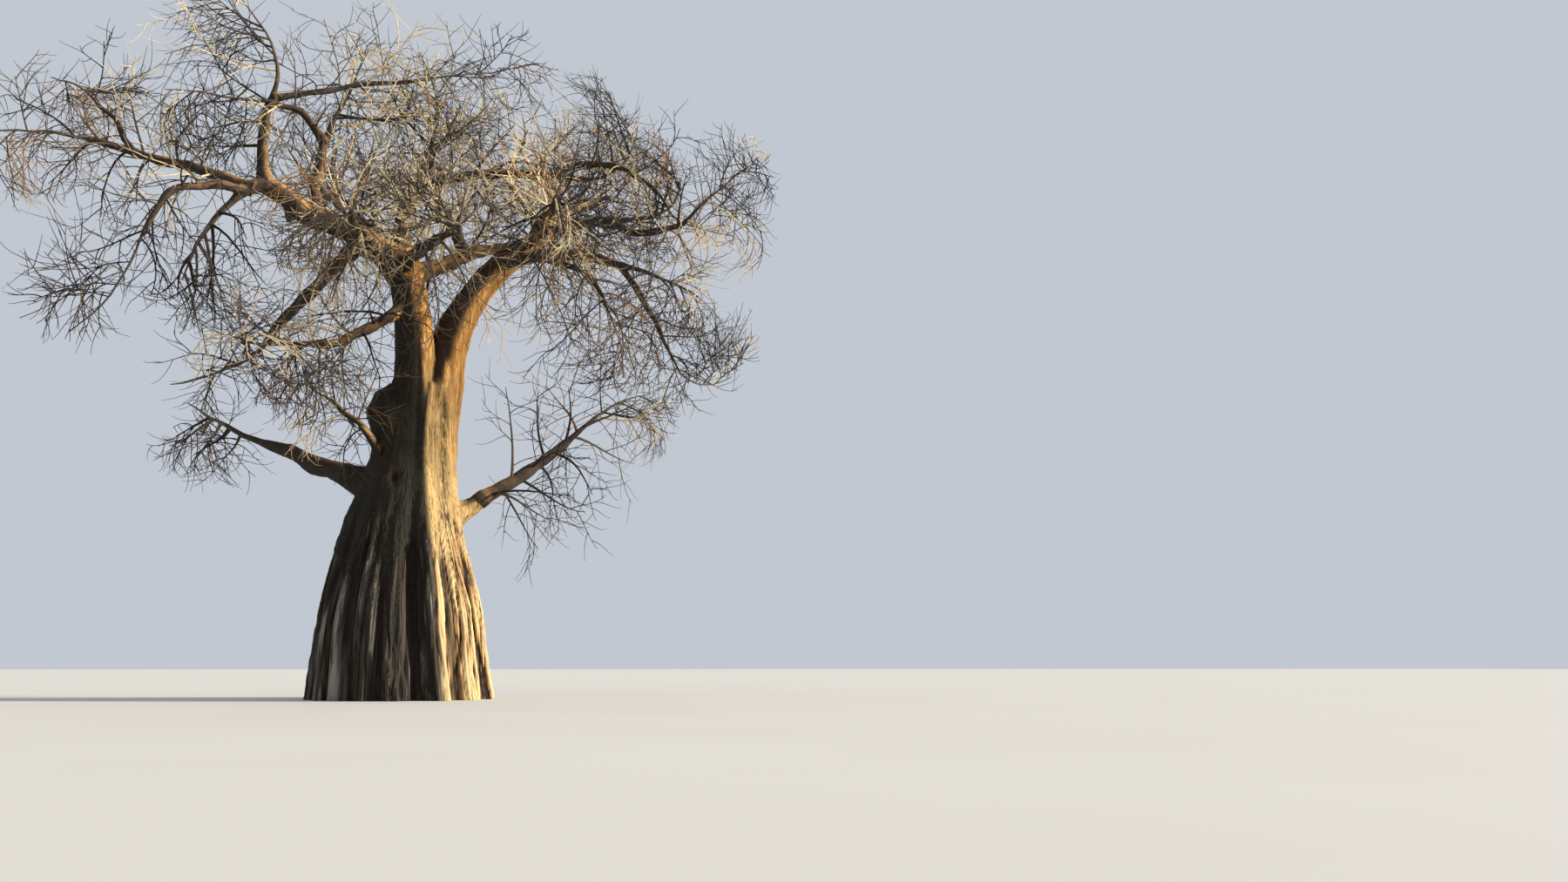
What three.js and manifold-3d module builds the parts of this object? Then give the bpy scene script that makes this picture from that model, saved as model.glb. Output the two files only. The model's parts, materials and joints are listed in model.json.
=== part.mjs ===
// A leafless baobab: a fluted trunk that forks into two stems, tapering boughs, and open masses of twigs.
// The tables below are in metres and degrees, and the solids are built in millimetres, with +Z up.
// The origin is the middle of the flat cut under the trunk. An azimuth of 0 points along +X and 90 along +Y.
import * as THREE from "three";
import { mergeVertices } from "three/addons/utils/BufferGeometryUtils.js";
import Module from "manifold-3d";

const wasm = await Module();
wasm.setup();

const METRE = 1000; // millimetres
const CLEARANCE = 0.0003; // between neighbouring solids
const GOLDEN_ANGLE = 137.5;

const TRUNK = {
  forkHeight: 9.6,
  waistRadius: 1.6, // of the plain taper, carried down to the ground
  taper: 0.053, // radius lost for each metre of height
  flare: 1.12, // how much wider the foot is than the plain taper
  flareHeight: 4.4, // where half of the flare is left
  flareSoftness: 0.95,
  toe: 0.06, // extra spread of the ridges where they meet the ground
  toeHeight: 0.45,
  leanBend: 0.011, // sideways sweep, in metres for each square metre
  leanReturn: 7.9, // height at which the sweep is back over the foot
  footDepth: 0.95, // front-to-back width over side-to-side width, at the ground
  forkDepth: 0.62, // the same at the fork, where two stems stand side by side
  pinchHeight: 5,
  rings: 9,
};

// The folds of the trunk: rounded ridges with sharp valleys between them, unevenly spaced and deep. The
// first ridge is a spine that runs all the way up to the fork.
const FOLDS = {
  count: 15,
  first: -67, // azimuth of the spine at the ground
  stray: 17, // how far the ridges stray from an even spacing, in degrees
  seed: 276,
  depth: [0.19, 0.46], // of the shallowest and the deepest valley
  fadeStart: 3,
  fadeEnd: 7.4,
  rest: 0.12, // share of the depth that is left at the fork
  turn: -13, // how far the ridges turn round the trunk on their way up, in degrees
  turnStart: 3.6,
  spine: 0.09, // how far the spine stands out
  spineWidth: 9,
  sides: 4, // sides of the solid for each fold
};

// The swelling of the trunk under the low left bough. The width and the reach are those of a bell curve, in
// degrees round the trunk and in metres up and down it.
const SHOULDER = { azimuth: 178, width: 45, height: 5.3, reach: 1.4, rise: 0.2 };

const COLLAR = { swell: 0.4, reach: 1.5 }; // swelling at a root, and how many radii it fades over
const LIMB_STEP = 1.15; // length of one straight piece of a limb
const SINK = 0.25; // how far a root starts inside what carries it
const THICK_LIMB = 0.21; // radius from which a limb has more sides
const LIMB_SIDES = { thick: 8, thin: 6 };

// A limb starts on the fork at a place beside the middle, in the trunk's side at a height and an azimuth, or
// on another limb at a share of its length.
const onFork = (x, y) => ({ foot: [x, y] });
const onTrunk = (height, side) => ({ height, side });
const onLimb = (on, at) => ({ on, at });

// A limb has a length, and then two values each of azimuth, climb above the horizontal and radius, from
// which it turns and tapers evenly, from its root to its tip.
const limbRow = (name, from, length, azimuth, climb, radius) => ({
  name,
  ...from,
  length,
  azimuth,
  climb,
  radius,
});

const LIMBS = [
  limbRow("stem_left", onFork(-0.16, -0.15), 3.9, [-146, -192], [89, 75], [0.6, 0.5]),
  limbRow("stem_right", onFork(0.76, 0.1), 5.8, [17, 2], [91, 38], [0.55, 0.36]),
  limbRow("bough_left_inner", onLimb("stem_left", 0.97), 3.5, [-160, -167], [33, 8], [0.42, 0.33]),
  limbRow("bough_left_elbow", onLimb("bough_left_inner", 1), 2.5, [-163, -161], [69, -70], [0.32, 0.17]),
  limbRow("bough_left_long", onLimb("bough_left_elbow", 0.66), 5, [-174, -166], [14, 2], [0.19, 0.08]),
  limbRow("bough_left_rise", onLimb("bough_left_long", 0.66), 2.1, [172, 178], [62, 40], [0.09, 0.05]),
  limbRow("bough_left_riser", onLimb("bough_left_elbow", 0.5), 3.8, [166, 7], [71, 81], [0.2, 0.12]),
  limbRow("bough_top_long", onLimb("bough_left_riser", 0.86), 6.2, [20, 13], [25, 20], [0.11, 0.05]),
  limbRow("bough_left_upright", onLimb("bough_left_inner", 0.86), 3.4, [114, 57], [75, 68], [0.2, 0.15]),
  limbRow("bough_left_arch", onLimb("bough_left_upright", 0.86), 2.4, [-147, -159], [59, -19], [0.14, 0.08]),
  limbRow("bough_left_drop", onLimb("bough_left_elbow", 0.78), 4.6, [-128, -152], [2, -86], [0.15, 0.06]),
  limbRow("bough_left_diagonal", onLimb("bough_left_inner", 0.42), 4.7, [170, 152], [-46, -52], [0.24, 0.13]),
  limbRow("bough_left_hanging", onLimb("stem_left", 0.72), 5.3, [-135, -143], [-50, -8], [0.2, 0.09]),
  limbRow("bough_left_low", onTrunk(6.45, 168), 3.9, [166, 167], [22, 20], [0.36, 0.16]),
  limbRow("bough_left_small", onTrunk(7.2, -158), 2.8, [-144, -155], [56, 19], [0.12, 0.06]),
  limbRow("bough_right_low", onTrunk(5.5, 14), 6.1, [17, 21], [31, 44], [0.28, 0.11]),
  limbRow("bough_centre_riser", onLimb("stem_left", 0.97), 4.1, [124, 21], [68, 72], [0.27, 0.18]),
  limbRow("bough_centre_arch", onLimb("bough_centre_riser", 0.86), 5.3, [-5, -10], [17, -5], [0.17, 0.13]),
  limbRow("bough_right_high", onLimb("bough_centre_arch", 0.82), 5, [-20, -12], [30, -68], [0.13, 0.06]),
  limbRow("bough_right_mid", onLimb("stem_right", 0.95), 3.7, [-11, -10], [41, 0], [0.24, 0.15]),
  limbRow("bough_right_hook", onLimb("bough_right_mid", 0.87), 3.4, [-24, -21], [-41, 55], [0.14, 0.08]),
  limbRow("bough_right_lower", onLimb("stem_right", 0.88), 4.4, [-23, -29], [9, -24], [0.22, 0.13]),
  limbRow("bough_right_droop", onLimb("bough_right_lower", 0.86), 4.3, [-32, -24], [-56, -66], [0.12, 0.05]),
  limbRow("bough_right_hang", onLimb("stem_right", 0.8), 6, [-42, -62], [12, -66], [0.16, 0.06]),
  limbRow("bough_cross", onLimb("stem_left", 0.9), 6.4, [44, 54], [30, 26], [0.3, 0.16]),
  limbRow("bough_front", onLimb("stem_left", 0.95), 5, [-79, -71], [7, -14], [0.24, 0.11]),
  limbRow("bough_back_left", onLimb("stem_left", 0.96), 8.6, [117, 115], [38, 29], [0.26, 0.11]),
  limbRow("bough_back_right", onLimb("stem_right", 0.96), 8.4, [62, 56], [38, 29], [0.24, 0.1]),
  limbRow("bough_front_right", onLimb("stem_right", 0.93), 5.6, [-72, -96], [12, -14], [0.2, 0.09]),
  limbRow("bough_front_left", onLimb("bough_left_inner", 0.25), 4.9, [-112, -84], [2, -14], [0.2, 0.09]),
  limbRow("bough_back_mid", onLimb("bough_cross", 0.5), 6.4, [133, 90], [51, 54], [0.2, 0.1]),
];

// A mass of twigs grows from the tip of one bough and keeps to an ellipsoid: its half widths along X, Y and
// Z, and how far its middle is shifted from the tip. A positive lift turns its branches up, a negative one
// lets them hang.
const massRow = (name, tipOf, half, shift, lift) => ({ name, tipOf, half, shift, lift });

const MASSES = [
  massRow("twigs_left_tip", "bough_left_long", [2.3, 2.4, 2], [-0.3, 0, -0.1], 0.2),
  massRow("twigs_left_rise", "bough_left_rise", [1.9, 2.1, 1.5], [0.2, 0, 0.2], 0.3),
  massRow("twigs_left_elbow", "bough_left_elbow", [2.1, 2.3, 2.2], [-0.3, -0.4, -1.6], -0.8),
  massRow("twigs_left_riser", "bough_left_riser", [2.3, 2.5, 2.2], [-1.4, -0.2, 0.6], 0.6),
  massRow("twigs_top", "bough_top_long", [3.1, 2.5, 1.9], [-0.2, 0.1, 0.3], 0.4),
  massRow("twigs_left_upright", "bough_left_upright", [2.2, 2.3, 2.4], [0.7, 0.4, 0.9], 0.5),
  massRow("twigs_left_arch", "bough_left_arch", [2, 2.2, 2], [-0.7, -0.7, -1], -0.2),
  massRow("twigs_left_drop", "bough_left_drop", [1.9, 2.4, 2.2], [-0.9, -0.4, -0.5], -1),
  massRow("twigs_left_diagonal", "bough_left_diagonal", [2.1, 2.3, 2], [-0.8, 0.4, 0], -0.4),
  massRow("twigs_left_hanging", "bough_left_hanging", [2.1, 2.1, 1.7], [0, -0.5, -0.1], -0.3),
  massRow("twigs_left_low", "bough_left_low", [2, 2.3, 1.8], [-0.8, 0.3, 0.2], 0.1),
  massRow("twigs_left_small", "bough_left_small", [1.5, 1.9, 1.4], [-0.1, -0.5, 0.1], 0.1),
  massRow("twigs_right_low", "bough_right_low", [2.6, 2.3, 1.9], [0.1, 0.2, 0.1], 0.3),
  massRow("twigs_centre_riser", "bough_centre_riser", [2.5, 2.2, 2.4], [0.1, 0.2, 1.5], 0.6),
  massRow("twigs_centre_arch", "bough_centre_arch", [2.8, 2.3, 2.2], [-0.3, 0.2, 1.5], 0.7),
  massRow("twigs_right_high", "bough_right_high", [2.4, 2.2, 2.4], [0.1, 0.1, 0.5], -0.3),
  massRow("twigs_right_mid", "bough_right_mid", [2.5, 2.1, 2.1], [-0.2, 0.3, 0.9], 0.4),
  massRow("twigs_right_hook", "bough_right_hook", [2.3, 2.1, 2.5], [0.3, -0.5, -0.2], -0.2),
  massRow("twigs_right_lower", "bough_right_lower", [2.4, 2.2, 2], [0.3, -0.3, -0.4], -0.5),
  massRow("twigs_right_droop", "bough_right_droop", [2.1, 2, 1.9], [0.1, 0, 1.1], -0.6),
  massRow("twigs_right_hang", "bough_right_hang", [2.1, 2, 1.9], [-0.3, 0, -0.3], -0.9),
  massRow("twigs_cross", "bough_cross", [2.8, 2.5, 2.2], [0.5, 0.5, 1.3], 0.3),
  massRow("twigs_front", "bough_front", [2.1, 2.3, 1.8], [-0.3, -0.6, 0.2], 0.1),
  massRow("twigs_back_left", "bough_back_left", [2.8, 2.7, 2.3], [-0.1, 0.6, 1], 0.1),
  massRow("twigs_back_right", "bough_back_right", [3, 2.7, 2.2], [0.1, 0.6, 0.6], 0.1),
  massRow("twigs_front_right", "bough_front_right", [2.3, 2.3, 1.8], [0.2, -0.6, -0.5], 0),
  massRow("twigs_front_left", "bough_front_left", [2, 2.2, 1.7], [-0.2, -0.5, -0.4], 0.1),
  massRow("twigs_back_mid", "bough_back_mid", [2.8, 2.6, 2.1], [0.1, 0.6, 0.4], 0.2),
];

// The first index of each kind of draw from chance.
const DRAW = { valley: 50, opening: 51, turn: 77, place: 101, length: 151 };

// The rule that every mass grows by. A reach is a length over the mean half width of the space, or over
// the length of the parent for a twig; a share is a place along the parent; an opening is the angle to the
// parent at its foot and at its tip.
const TWIG = {
  steps: 8,
  wobble: 0.34, // how far the heading strays at each step
  stemReach: 1.35,
  stemPull: 0.22, // how strongly a stem is drawn to the middle of its space
  stemRadius: 0.6, // over the radius of the bough's tip
  stemLean: 40, // how far a stem may turn away from its bough's heading to stay clear
  stemTurns: 8,
  stemPieces: 4,
  stemSides: 4,
  sides: 3, // of a branch or a twig
  branchRadius: 0.55, // over the radius of the stem's foot
  branch: { count: 7, reach: 1.5, share: [0.08, 1], opening: [95, 25], pieces: 2 },
  twig: { count: 2, reach: 0.62, share: [0.25, 0.85], opening: [58, 34], pieces: 1, lift: 0.45 },
  spread: [0.2, 0.8], // where a shoot may stand in its even part of the parent
  fall: [1.1, 0.75], // factor on a shoot's length, at the foot and at the tip of its parent
  vary: [0.85, 1.15], // the least and the most that chance makes of an opening or a length
  beside: 0.05, // how far to each side of a shoot its parent's heading is read
  turns: [0, 120, 240], // further turns round the parent that are tried for a shoot that finds no room
  shorter: [1, 0.75, 0.5], // lengths that are tried
  thinnest: 0.018,
  clearance: 0.012,
};

const BARK = new THREE.MeshStandardMaterial({ color: 0x8b7355, roughness: 0.9, metalness: 0 });
const YOUNG_BARK = new THREE.MeshStandardMaterial({ color: 0xa08158, roughness: 0.85, metalness: 0 });
const TWIG_BARK = new THREE.MeshStandardMaterial({ color: 0x857a6a, roughness: 0.85, metalness: 0 });

const lerp = (from, to, share) => from + (to - from) * share;
const smooth = (from, to, x) => THREE.MathUtils.smoothstep(x, from, to);
const vector = (x, y, z) => new THREE.Vector3(x, y, z);

// A direction from its azimuth and its climb above the horizontal, in degrees.
function direction(azimuth, climb) {
  const a = THREE.MathUtils.degToRad(azimuth);
  const c = THREE.MathUtils.degToRad(climb);
  return vector(Math.cos(c) * Math.cos(a), Math.cos(c) * Math.sin(a), Math.sin(c));
}

// The same number between 0 and 1 for the same seed and index.
function chance(seed, index) {
  const wave = Math.sin(seed * 12.9898 + index * 78.233) * 43758.5453;
  return wave - Math.floor(wave);
}

// A number drawn from a range.
const drawn = (range, seed, index) => lerp(range[0], range[1], chance(seed, index));

// The middle of the trunk at a height.
function trunkMiddle(height) {
  return vector(TRUNK.leanBend * height * (height - TRUNK.leanReturn), 0, height);
}

// How far an azimuth is from another one, between -180 and 180.
function turnedBy(azimuth, from) {
  return THREE.MathUtils.euclideanModulo(azimuth - from + 180, 360) - 180;
}

// The azimuth of a ridge at a height. Ridge 0 is the spine, and ridge `count` is the spine again.
function ridgeAzimuth(ridge, height) {
  const stray = ridge % FOLDS.count === 0 ? 0 : FOLDS.stray * (chance(FOLDS.seed, ridge) - 0.5);
  const turn = FOLDS.turn * smooth(FOLDS.turnStart, TRUNK.forkHeight, height);
  return FOLDS.first + (360 * ridge) / FOLDS.count + stray + turn;
}

// The fold that an azimuth lies in at a height, and the share of the way across it, from ridge to ridge.
function foldAt(azimuth, height) {
  const first = ridgeAzimuth(0, height);
  const around = first + THREE.MathUtils.euclideanModulo(azimuth - first, 360);
  let fold = 0;
  while (ridgeAzimuth(fold + 1, height) < around) {
    fold++;
  }
  const from = ridgeAzimuth(fold, height);
  return { fold, share: (around - from) / (ridgeAzimuth(fold + 1, height) - from) };
}

// The trunk's radius towards an azimuth in degrees: a taper and a flared foot, an oval that narrows into
// two lobes at the fork, the folds, the spine and the shoulder.
function trunkRadius(azimuth, height) {
  const across = Math.cos(THREE.MathUtils.degToRad(azimuth)) ** 2;
  const flare = TRUNK.flare / (1 + Math.exp((height - TRUNK.flareHeight) / TRUNK.flareSoftness));
  const wide = TRUNK.waistRadius - TRUNK.taper * height + flare;
  const pinch = smooth(TRUNK.pinchHeight, TRUNK.forkHeight, height);
  const oval = wide * lerp(TRUNK.footDepth, 1, across);
  const lobes = wide * lerp(TRUNK.forkDepth, 1, across);
  const { fold, share } = foldAt(azimuth, height);
  const ridge = Math.abs(Math.cos(Math.PI * share));
  const deep = drawn(FOLDS.depth, FOLDS.seed, DRAW.valley + fold);
  const fade = 1 - (1 - FOLDS.rest) * smooth(FOLDS.fadeStart, FOLDS.fadeEnd, height);
  const toe = TRUNK.toe * ridge * Math.exp(-height / TRUNK.toeHeight);
  const besideSpine = turnedBy(azimuth, ridgeAzimuth(0, height)) / FOLDS.spineWidth;
  const spine = FOLDS.spine * Math.exp(-(besideSpine ** 2));
  const beside = turnedBy(azimuth, SHOULDER.azimuth) / SHOULDER.width;
  const above = (height - SHOULDER.height) / SHOULDER.reach;
  const shoulder = SHOULDER.rise * Math.exp(-(beside ** 2) - above ** 2);
  return lerp(oval, lobes, pinch) - deep * fade * (1 - ridge) + toe + spine + shoulder;
}

// Closes a stack of equal rings of points, in metres, into one geometry in millimetres, with a fan of faces
// from the first ring to the foot point and from the last ring to the tip point.
function stackedRings(rings, foot, tip) {
  const sides = rings[0].length;
  const points = [...rings.flat(), foot, tip];
  const tipIndex = points.length - 1;
  const footIndex = tipIndex - 1;
  const faces = [];
  for (let side = 0; side < sides; side++) {
    const next = (side + 1) % sides;
    faces.push(footIndex, next, side);
    for (let ring = 0; ring < rings.length - 1; ring++) {
      const low = ring * sides;
      const high = low + sides;
      faces.push(low + side, low + next, high + next, low + side, high + next, high + side);
    }
    const last = (rings.length - 1) * sides;
    faces.push(last + side, last + next, tipIndex);
  }
  const places = points.flatMap((p) => [p.x * METRE, p.y * METRE, p.z * METRE]);
  return new THREE.BufferGeometry()
    .setAttribute("position", new THREE.Float32BufferAttribute(places, 3))
    .setIndex(faces);
}

// A closed geometry as a solid that can be cut and joined.
function solidOf(geometry) {
  const merged = mergeVertices(geometry, 1e-3);
  return new wasm.Manifold(
    new wasm.Mesh({
      numProp: 3,
      vertProperties: merged.attributes.position.array,
      triVerts: new Uint32Array(merged.index.array),
    }),
  );
}

// A solid's vertices and triangles as a geometry again.
function geometryOf(solid) {
  const mesh = solid.getMesh();
  return new THREE.BufferGeometry()
    .setAttribute("position", new THREE.BufferAttribute(mesh.vertProperties, 3))
    .setIndex(new THREE.BufferAttribute(mesh.triVerts, 1));
}

// The largest single body of a solid, so that no loose scrap of a cut is kept.
function largestBody(solid) {
  const bodies = solid.decompose();
  return bodies.reduce((best, body) => (body.volume() > best.volume() ? body : best), bodies[0]);
}

// The trunk from its flat cut at the ground to the flat top that both stems stand on, made larger all
// round by `extra` where it is used as a cutter. Its sides follow the folds up.
function trunkSolid(extra = 0) {
  const rings = [];
  for (let ring = 0; ring <= TRUNK.rings; ring++) {
    const height = lerp(0, TRUNK.forkHeight, ring / TRUNK.rings);
    const middle = trunkMiddle(height).setZ(height + (ring === TRUNK.rings ? extra : 0));
    const points = [];
    for (let side = 0; side < FOLDS.count * FOLDS.sides; side++) {
      const fold = Math.floor(side / FOLDS.sides);
      const share = (side % FOLDS.sides) / FOLDS.sides;
      const azimuth = lerp(ridgeAzimuth(fold, height), ridgeAzimuth(fold + 1, height), share);
      points.push(direction(azimuth, 0).multiplyScalar(trunkRadius(azimuth, height) + extra).add(middle));
    }
    rings.push(points);
  }
  const foot = trunkMiddle(0);
  const top = trunkMiddle(TRUNK.forkHeight).setZ(TRUNK.forkHeight + extra);
  return solidOf(stackedRings(rings, foot, top));
}

// A round tube along a line of points, with a radius at each, and a pointed end where the last is 0. Its
// rings are carried along the line without twist.
function tubeSolid(line, radii, sides) {
  const rings = [];
  const first = line[1].clone().sub(line[0]).normalize();
  let side = Math.abs(first.z) < 0.9 ? vector(0, 0, 1) : vector(1, 0, 0);
  const pointed = radii[radii.length - 1] === 0;
  const ringCount = pointed ? line.length - 1 : line.length;
  for (let k = 0; k < ringCount; k++) {
    const before = line[Math.max(k - 1, 0)];
    const after = line[Math.min(k + 1, line.length - 1)];
    const along = after.clone().sub(before).normalize();
    side = side.clone().addScaledVector(along, -side.dot(along)).normalize();
    const up = along.clone().cross(side);
    const ring = [];
    for (let corner = 0; corner < sides; corner++) {
      const turn = (2 * Math.PI * corner) / sides;
      ring.push(
        line[k]
          .clone()
          .addScaledVector(side, Math.cos(turn) * radii[k])
          .addScaledVector(up, Math.sin(turn) * radii[k]),
      );
    }
    rings.push(ring);
  }
  return solidOf(stackedRings(rings, line[0], line[line.length - 1]));
}

// A limb's radius at a share of its length: an even taper, and a collar where it joins what carries it.
function limbRadius(limb, share) {
  const distance = share * limb.length;
  const swell = limb.foot ? 0 : COLLAR.swell;
  const collar = swell * Math.exp(-distance / (COLLAR.reach * limb.radius[0]));
  return lerp(limb.radius[0], limb.radius[1], share) + limb.radius[0] * collar;
}

// The point at a share of the way along a line of evenly spaced points.
function pointAt(line, share) {
  const place = share * (line.length - 1);
  const index = Math.min(Math.floor(place), line.length - 2);
  return line[index].clone().lerp(line[index + 1], place - index);
}

// Where the middle line of a limb starts, a little inside what carries it.
function limbStart(limb, routes) {
  if (limb.foot) {
    return vector(limb.foot[0], limb.foot[1], TRUNK.forkHeight - SINK / 10);
  }
  if (limb.on) {
    const start = pointAt(routes.get(limb.on), limb.at);
    return limb.at < 1 ? start : start.addScaledVector(direction(limb.azimuth[0], limb.climb[0]), -SINK / 2);
  }
  const out = trunkRadius(limb.side, limb.height) - SINK;
  return direction(limb.side, 0).multiplyScalar(out).add(trunkMiddle(limb.height));
}

// The middle line of a limb, whose heading turns evenly from its first value to its second.
function limbRoute(limb, routes) {
  const steps = Math.max(4, Math.round(limb.length / LIMB_STEP));
  const line = [limbStart(limb, routes)];
  for (let step = 0; step < steps; step++) {
    const share = (step + 0.5) / steps;
    const azimuth = lerp(limb.azimuth[0], limb.azimuth[1], share);
    const heading = direction(azimuth, lerp(limb.climb[0], limb.climb[1], share));
    line.push(line[step].clone().addScaledVector(heading, limb.length / steps));
  }
  return line;
}

// One limb as a solid, made larger all round and longer at both ends by `extra`.
function limbSolid(limb, line, extra = 0) {
  const radii = line.map((_, k) => limbRadius(limb, k / (line.length - 1)) + extra);
  const end = line.length - 1;
  const out = line[end].clone().sub(line[end - 1]).setLength(extra);
  const back = line[0].clone().sub(line[1]).setLength(extra);
  const longer = [line[0].clone().add(back), ...line.slice(1, end), line[end].clone().add(out)];
  const sides = limb.radius[0] >= THICK_LIMB ? LIMB_SIDES.thick : LIMB_SIDES.thin;
  return tubeSolid(longer, radii, sides);
}

// The gap between two straight round pieces, at the place where their middle lines are nearest.
function pieceGap(a, b) {
  const u = a.to.clone().sub(a.from);
  const v = b.to.clone().sub(b.from);
  const w = a.from.clone().sub(b.from);
  const uu = u.dot(u);
  const uv = u.dot(v);
  const vv = v.dot(v);
  const square = uu * vv - uv * uv;
  let s = square > 1e-9 ? THREE.MathUtils.clamp((uv * v.dot(w) - vv * u.dot(w)) / square, 0, 1) : 0;
  const t = THREE.MathUtils.clamp((uv * s + v.dot(w)) / vv, 0, 1);
  s = THREE.MathUtils.clamp((uv * t - u.dot(w)) / uu, 0, 1);
  const apart = w.addScaledVector(u, s).addScaledVector(v, -t).length();
  return apart - lerp(a.radii[0], a.radii[1], s) - lerp(b.radii[0], b.radii[1], t);
}

// The straight pieces of a line, each with the radii of its two ends and the node that it belongs to.
function piecesOf(line, radii, owner) {
  return line.slice(1).map((to, k) => ({ from: line[k], to, radii: [radii[k], radii[k + 1]], owner }));
}

// Whether any piece comes within the clearance of the pieces of a node other than `but`.
function touches(pieces, others, but) {
  return pieces.some((piece) =>
    others.some((other) => other.owner !== but && pieceGap(piece, other) < TWIG.clearance),
  );
}

// The headings that a stem tries in turn: straight on from its bough, then leaning away from it all round.
function stemHeadings(heading) {
  const headings = [heading];
  for (const lean of [0.5, 1]) {
    for (let turn = 0; turn < TWIG.stemTurns; turn++) {
      headings.push(shootHeading(heading, TWIG.stemLean * lean, (360 * turn) / TWIG.stemTurns));
    }
  }
  return headings;
}

// Grows one line: a straight first step along its heading, then steps that stray, turn up or down by the
// lift, and are drawn to the middle of the space by the pull. Some of its points are left out, so that
// the solid has few faces.
function growTwig(space, start, heading, shoot) {
  const line = [start.clone()];
  const along = heading.clone();
  for (let step = 0; step < TWIG.steps; step++) {
    line.push(line[step].clone().addScaledVector(along, shoot.length / TWIG.steps));
    along.addScaledVector(space.middle.clone().sub(line[step + 1]), shoot.pull / space.mean);
    along.x += TWIG.wobble * (chance(shoot.seed, 3 * step) - 0.5);
    along.y += TWIG.wobble * (chance(shoot.seed, 3 * step + 1) - 0.5);
    along.z += TWIG.wobble * (chance(shoot.seed, 3 * step + 2) - 0.5) + shoot.lift / TWIG.steps;
    along.normalize();
  }
  const every = TWIG.steps / shoot.pieces;
  return line.filter((_, k) => k % every === 0);
}

// The heading of a side shoot that opens from its parent by one angle and is turned round it by another.
function shootHeading(along, opening, turn) {
  const side = vector(-along.y, along.x, 0.001).normalize();
  const up = along.clone().cross(side);
  const open = THREE.MathUtils.degToRad(opening);
  const round = THREE.MathUtils.degToRad(turn);
  return along
    .clone()
    .multiplyScalar(Math.cos(open))
    .addScaledVector(side, Math.sin(open) * Math.cos(round))
    .addScaledVector(up, Math.sin(open) * Math.sin(round))
    .normalize();
}

// The first of a shoot's possible lines that stays in the space and clear of the other nodes, or null.
// Every heading is tried at its full length before a shorter one.
function fittingLine(space, start, headings, shoot, clear) {
  for (const share of TWIG.shorter) {
    for (const heading of headings) {
      const line = growTwig(space, start, heading, { ...shoot, length: shoot.length * share });
      if (line.every((point) => space.holds(point)) && clear(line)) {
        return line;
      }
    }
  }
  return null;
}

// The lines of the side shoots along a parent line, each with its seed and its length.
function shootsOf(parent, space, rule, seed, clear) {
  const shoots = [];
  for (let index = 0; index < rule.count; index++) {
    const place = (index + drawn(TWIG.spread, seed, DRAW.place + index)) / rule.count;
    const share = lerp(...rule.share, place);
    const ahead = pointAt(parent, share + TWIG.beside);
    const along = ahead.sub(pointAt(parent, share - TWIG.beside)).normalize();
    const opening = lerp(...rule.opening, share) * drawn(TWIG.vary, seed, DRAW.opening + index);
    const turn = index * GOLDEN_ANGLE + 360 * chance(seed, DRAW.turn);
    const headings = TWIG.turns.map((more) => shootHeading(along, opening, turn + more));
    const length = rule.length * lerp(...TWIG.fall, share) * drawn(TWIG.vary, seed, DRAW.length + index);
    const shoot = { length, lift: rule.lift, pull: 0, pieces: rule.pieces, seed: seed * 7 + index + 1 };
    const line = fittingLine(space, pointAt(parent, share), headings, shoot, clear);
    if (line) {
      shoots.push({ line, seed: shoot.seed, length });
    }
  }
  return shoots;
}

// The ellipsoid that a mass keeps to.
function massSpace(mass, tip) {
  const middle = tip.clone().add(vector(...mass.shift));
  const half = vector(...mass.half);
  return {
    middle,
    mean: (half.x + half.y + half.z) / 3,
    holds: (point) => point.clone().sub(middle).divide(half).length() < 1,
  };
}

// The lines of one mass with their radii and sides: a stem that goes on from its bough's tip, the branches
// on it, and the twigs on those.
function massLines(mass, seed, limb, route, taken) {
  const tip = route[route.length - 1];
  const heading = tip.clone().sub(route[route.length - 2]).normalize();
  const space = massSpace(mass, tip);
  const clearOf = (radius, but) => (line) => {
    const pieces = piecesOf(line, line.map(() => radius), mass.name);
    return !touches(pieces, taken, but);
  };
  const stemFoot = Math.max(limb.radius[1] * TWIG.stemRadius, TWIG.thinnest * 2);
  const branchFoot = Math.max(stemFoot * TWIG.branchRadius, TWIG.thinnest);
  const start = tip.clone().addScaledVector(heading, CLEARANCE);
  const shoot = {
    length: space.mean * TWIG.stemReach,
    lift: mass.lift / 2,
    pull: TWIG.stemPull,
    pieces: TWIG.stemPieces,
    seed,
  };
  const stem = fittingLine(space, start, stemHeadings(heading), shoot, clearOf(stemFoot, limb.name));
  const lines = [{ line: stem, foot: stemFoot, sides: TWIG.stemSides }];
  const branchRule = { ...TWIG.branch, length: space.mean * TWIG.branch.reach, lift: mass.lift };
  for (const branch of shootsOf(stem, space, branchRule, seed, clearOf(branchFoot))) {
    lines.push({ line: branch.line, foot: branchFoot, sides: TWIG.sides });
    const twigRule = { ...TWIG.twig, length: branch.length * TWIG.twig.reach };
    for (const twig of shootsOf(branch.line, space, twigRule, branch.seed, clearOf(TWIG.thinnest))) {
      lines.push({ line: twig.line, foot: TWIG.thinnest, sides: TWIG.sides });
    }
  }
  return lines;
}

// One mass of twigs as a fused solid. Its pieces are added to those that later masses keep clear of.
function massSolid(mass, seed, limb, route, taken) {
  const parts = [];
  for (const { line, foot, sides } of massLines(mass, seed, limb, route, taken)) {
    const end = line.length - 1;
    const radii = line.map((_, k) => (k === end ? 0 : lerp(foot, TWIG.thinnest, k / end)));
    parts.push(tubeSolid(line, radii, sides));
    taken.push(...piecesOf(line, radii, mass.name));
  }
  return largestBody(wasm.Manifold.union(parts).subtract(limbSolid(limb, route, CLEARANCE)));
}

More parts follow.
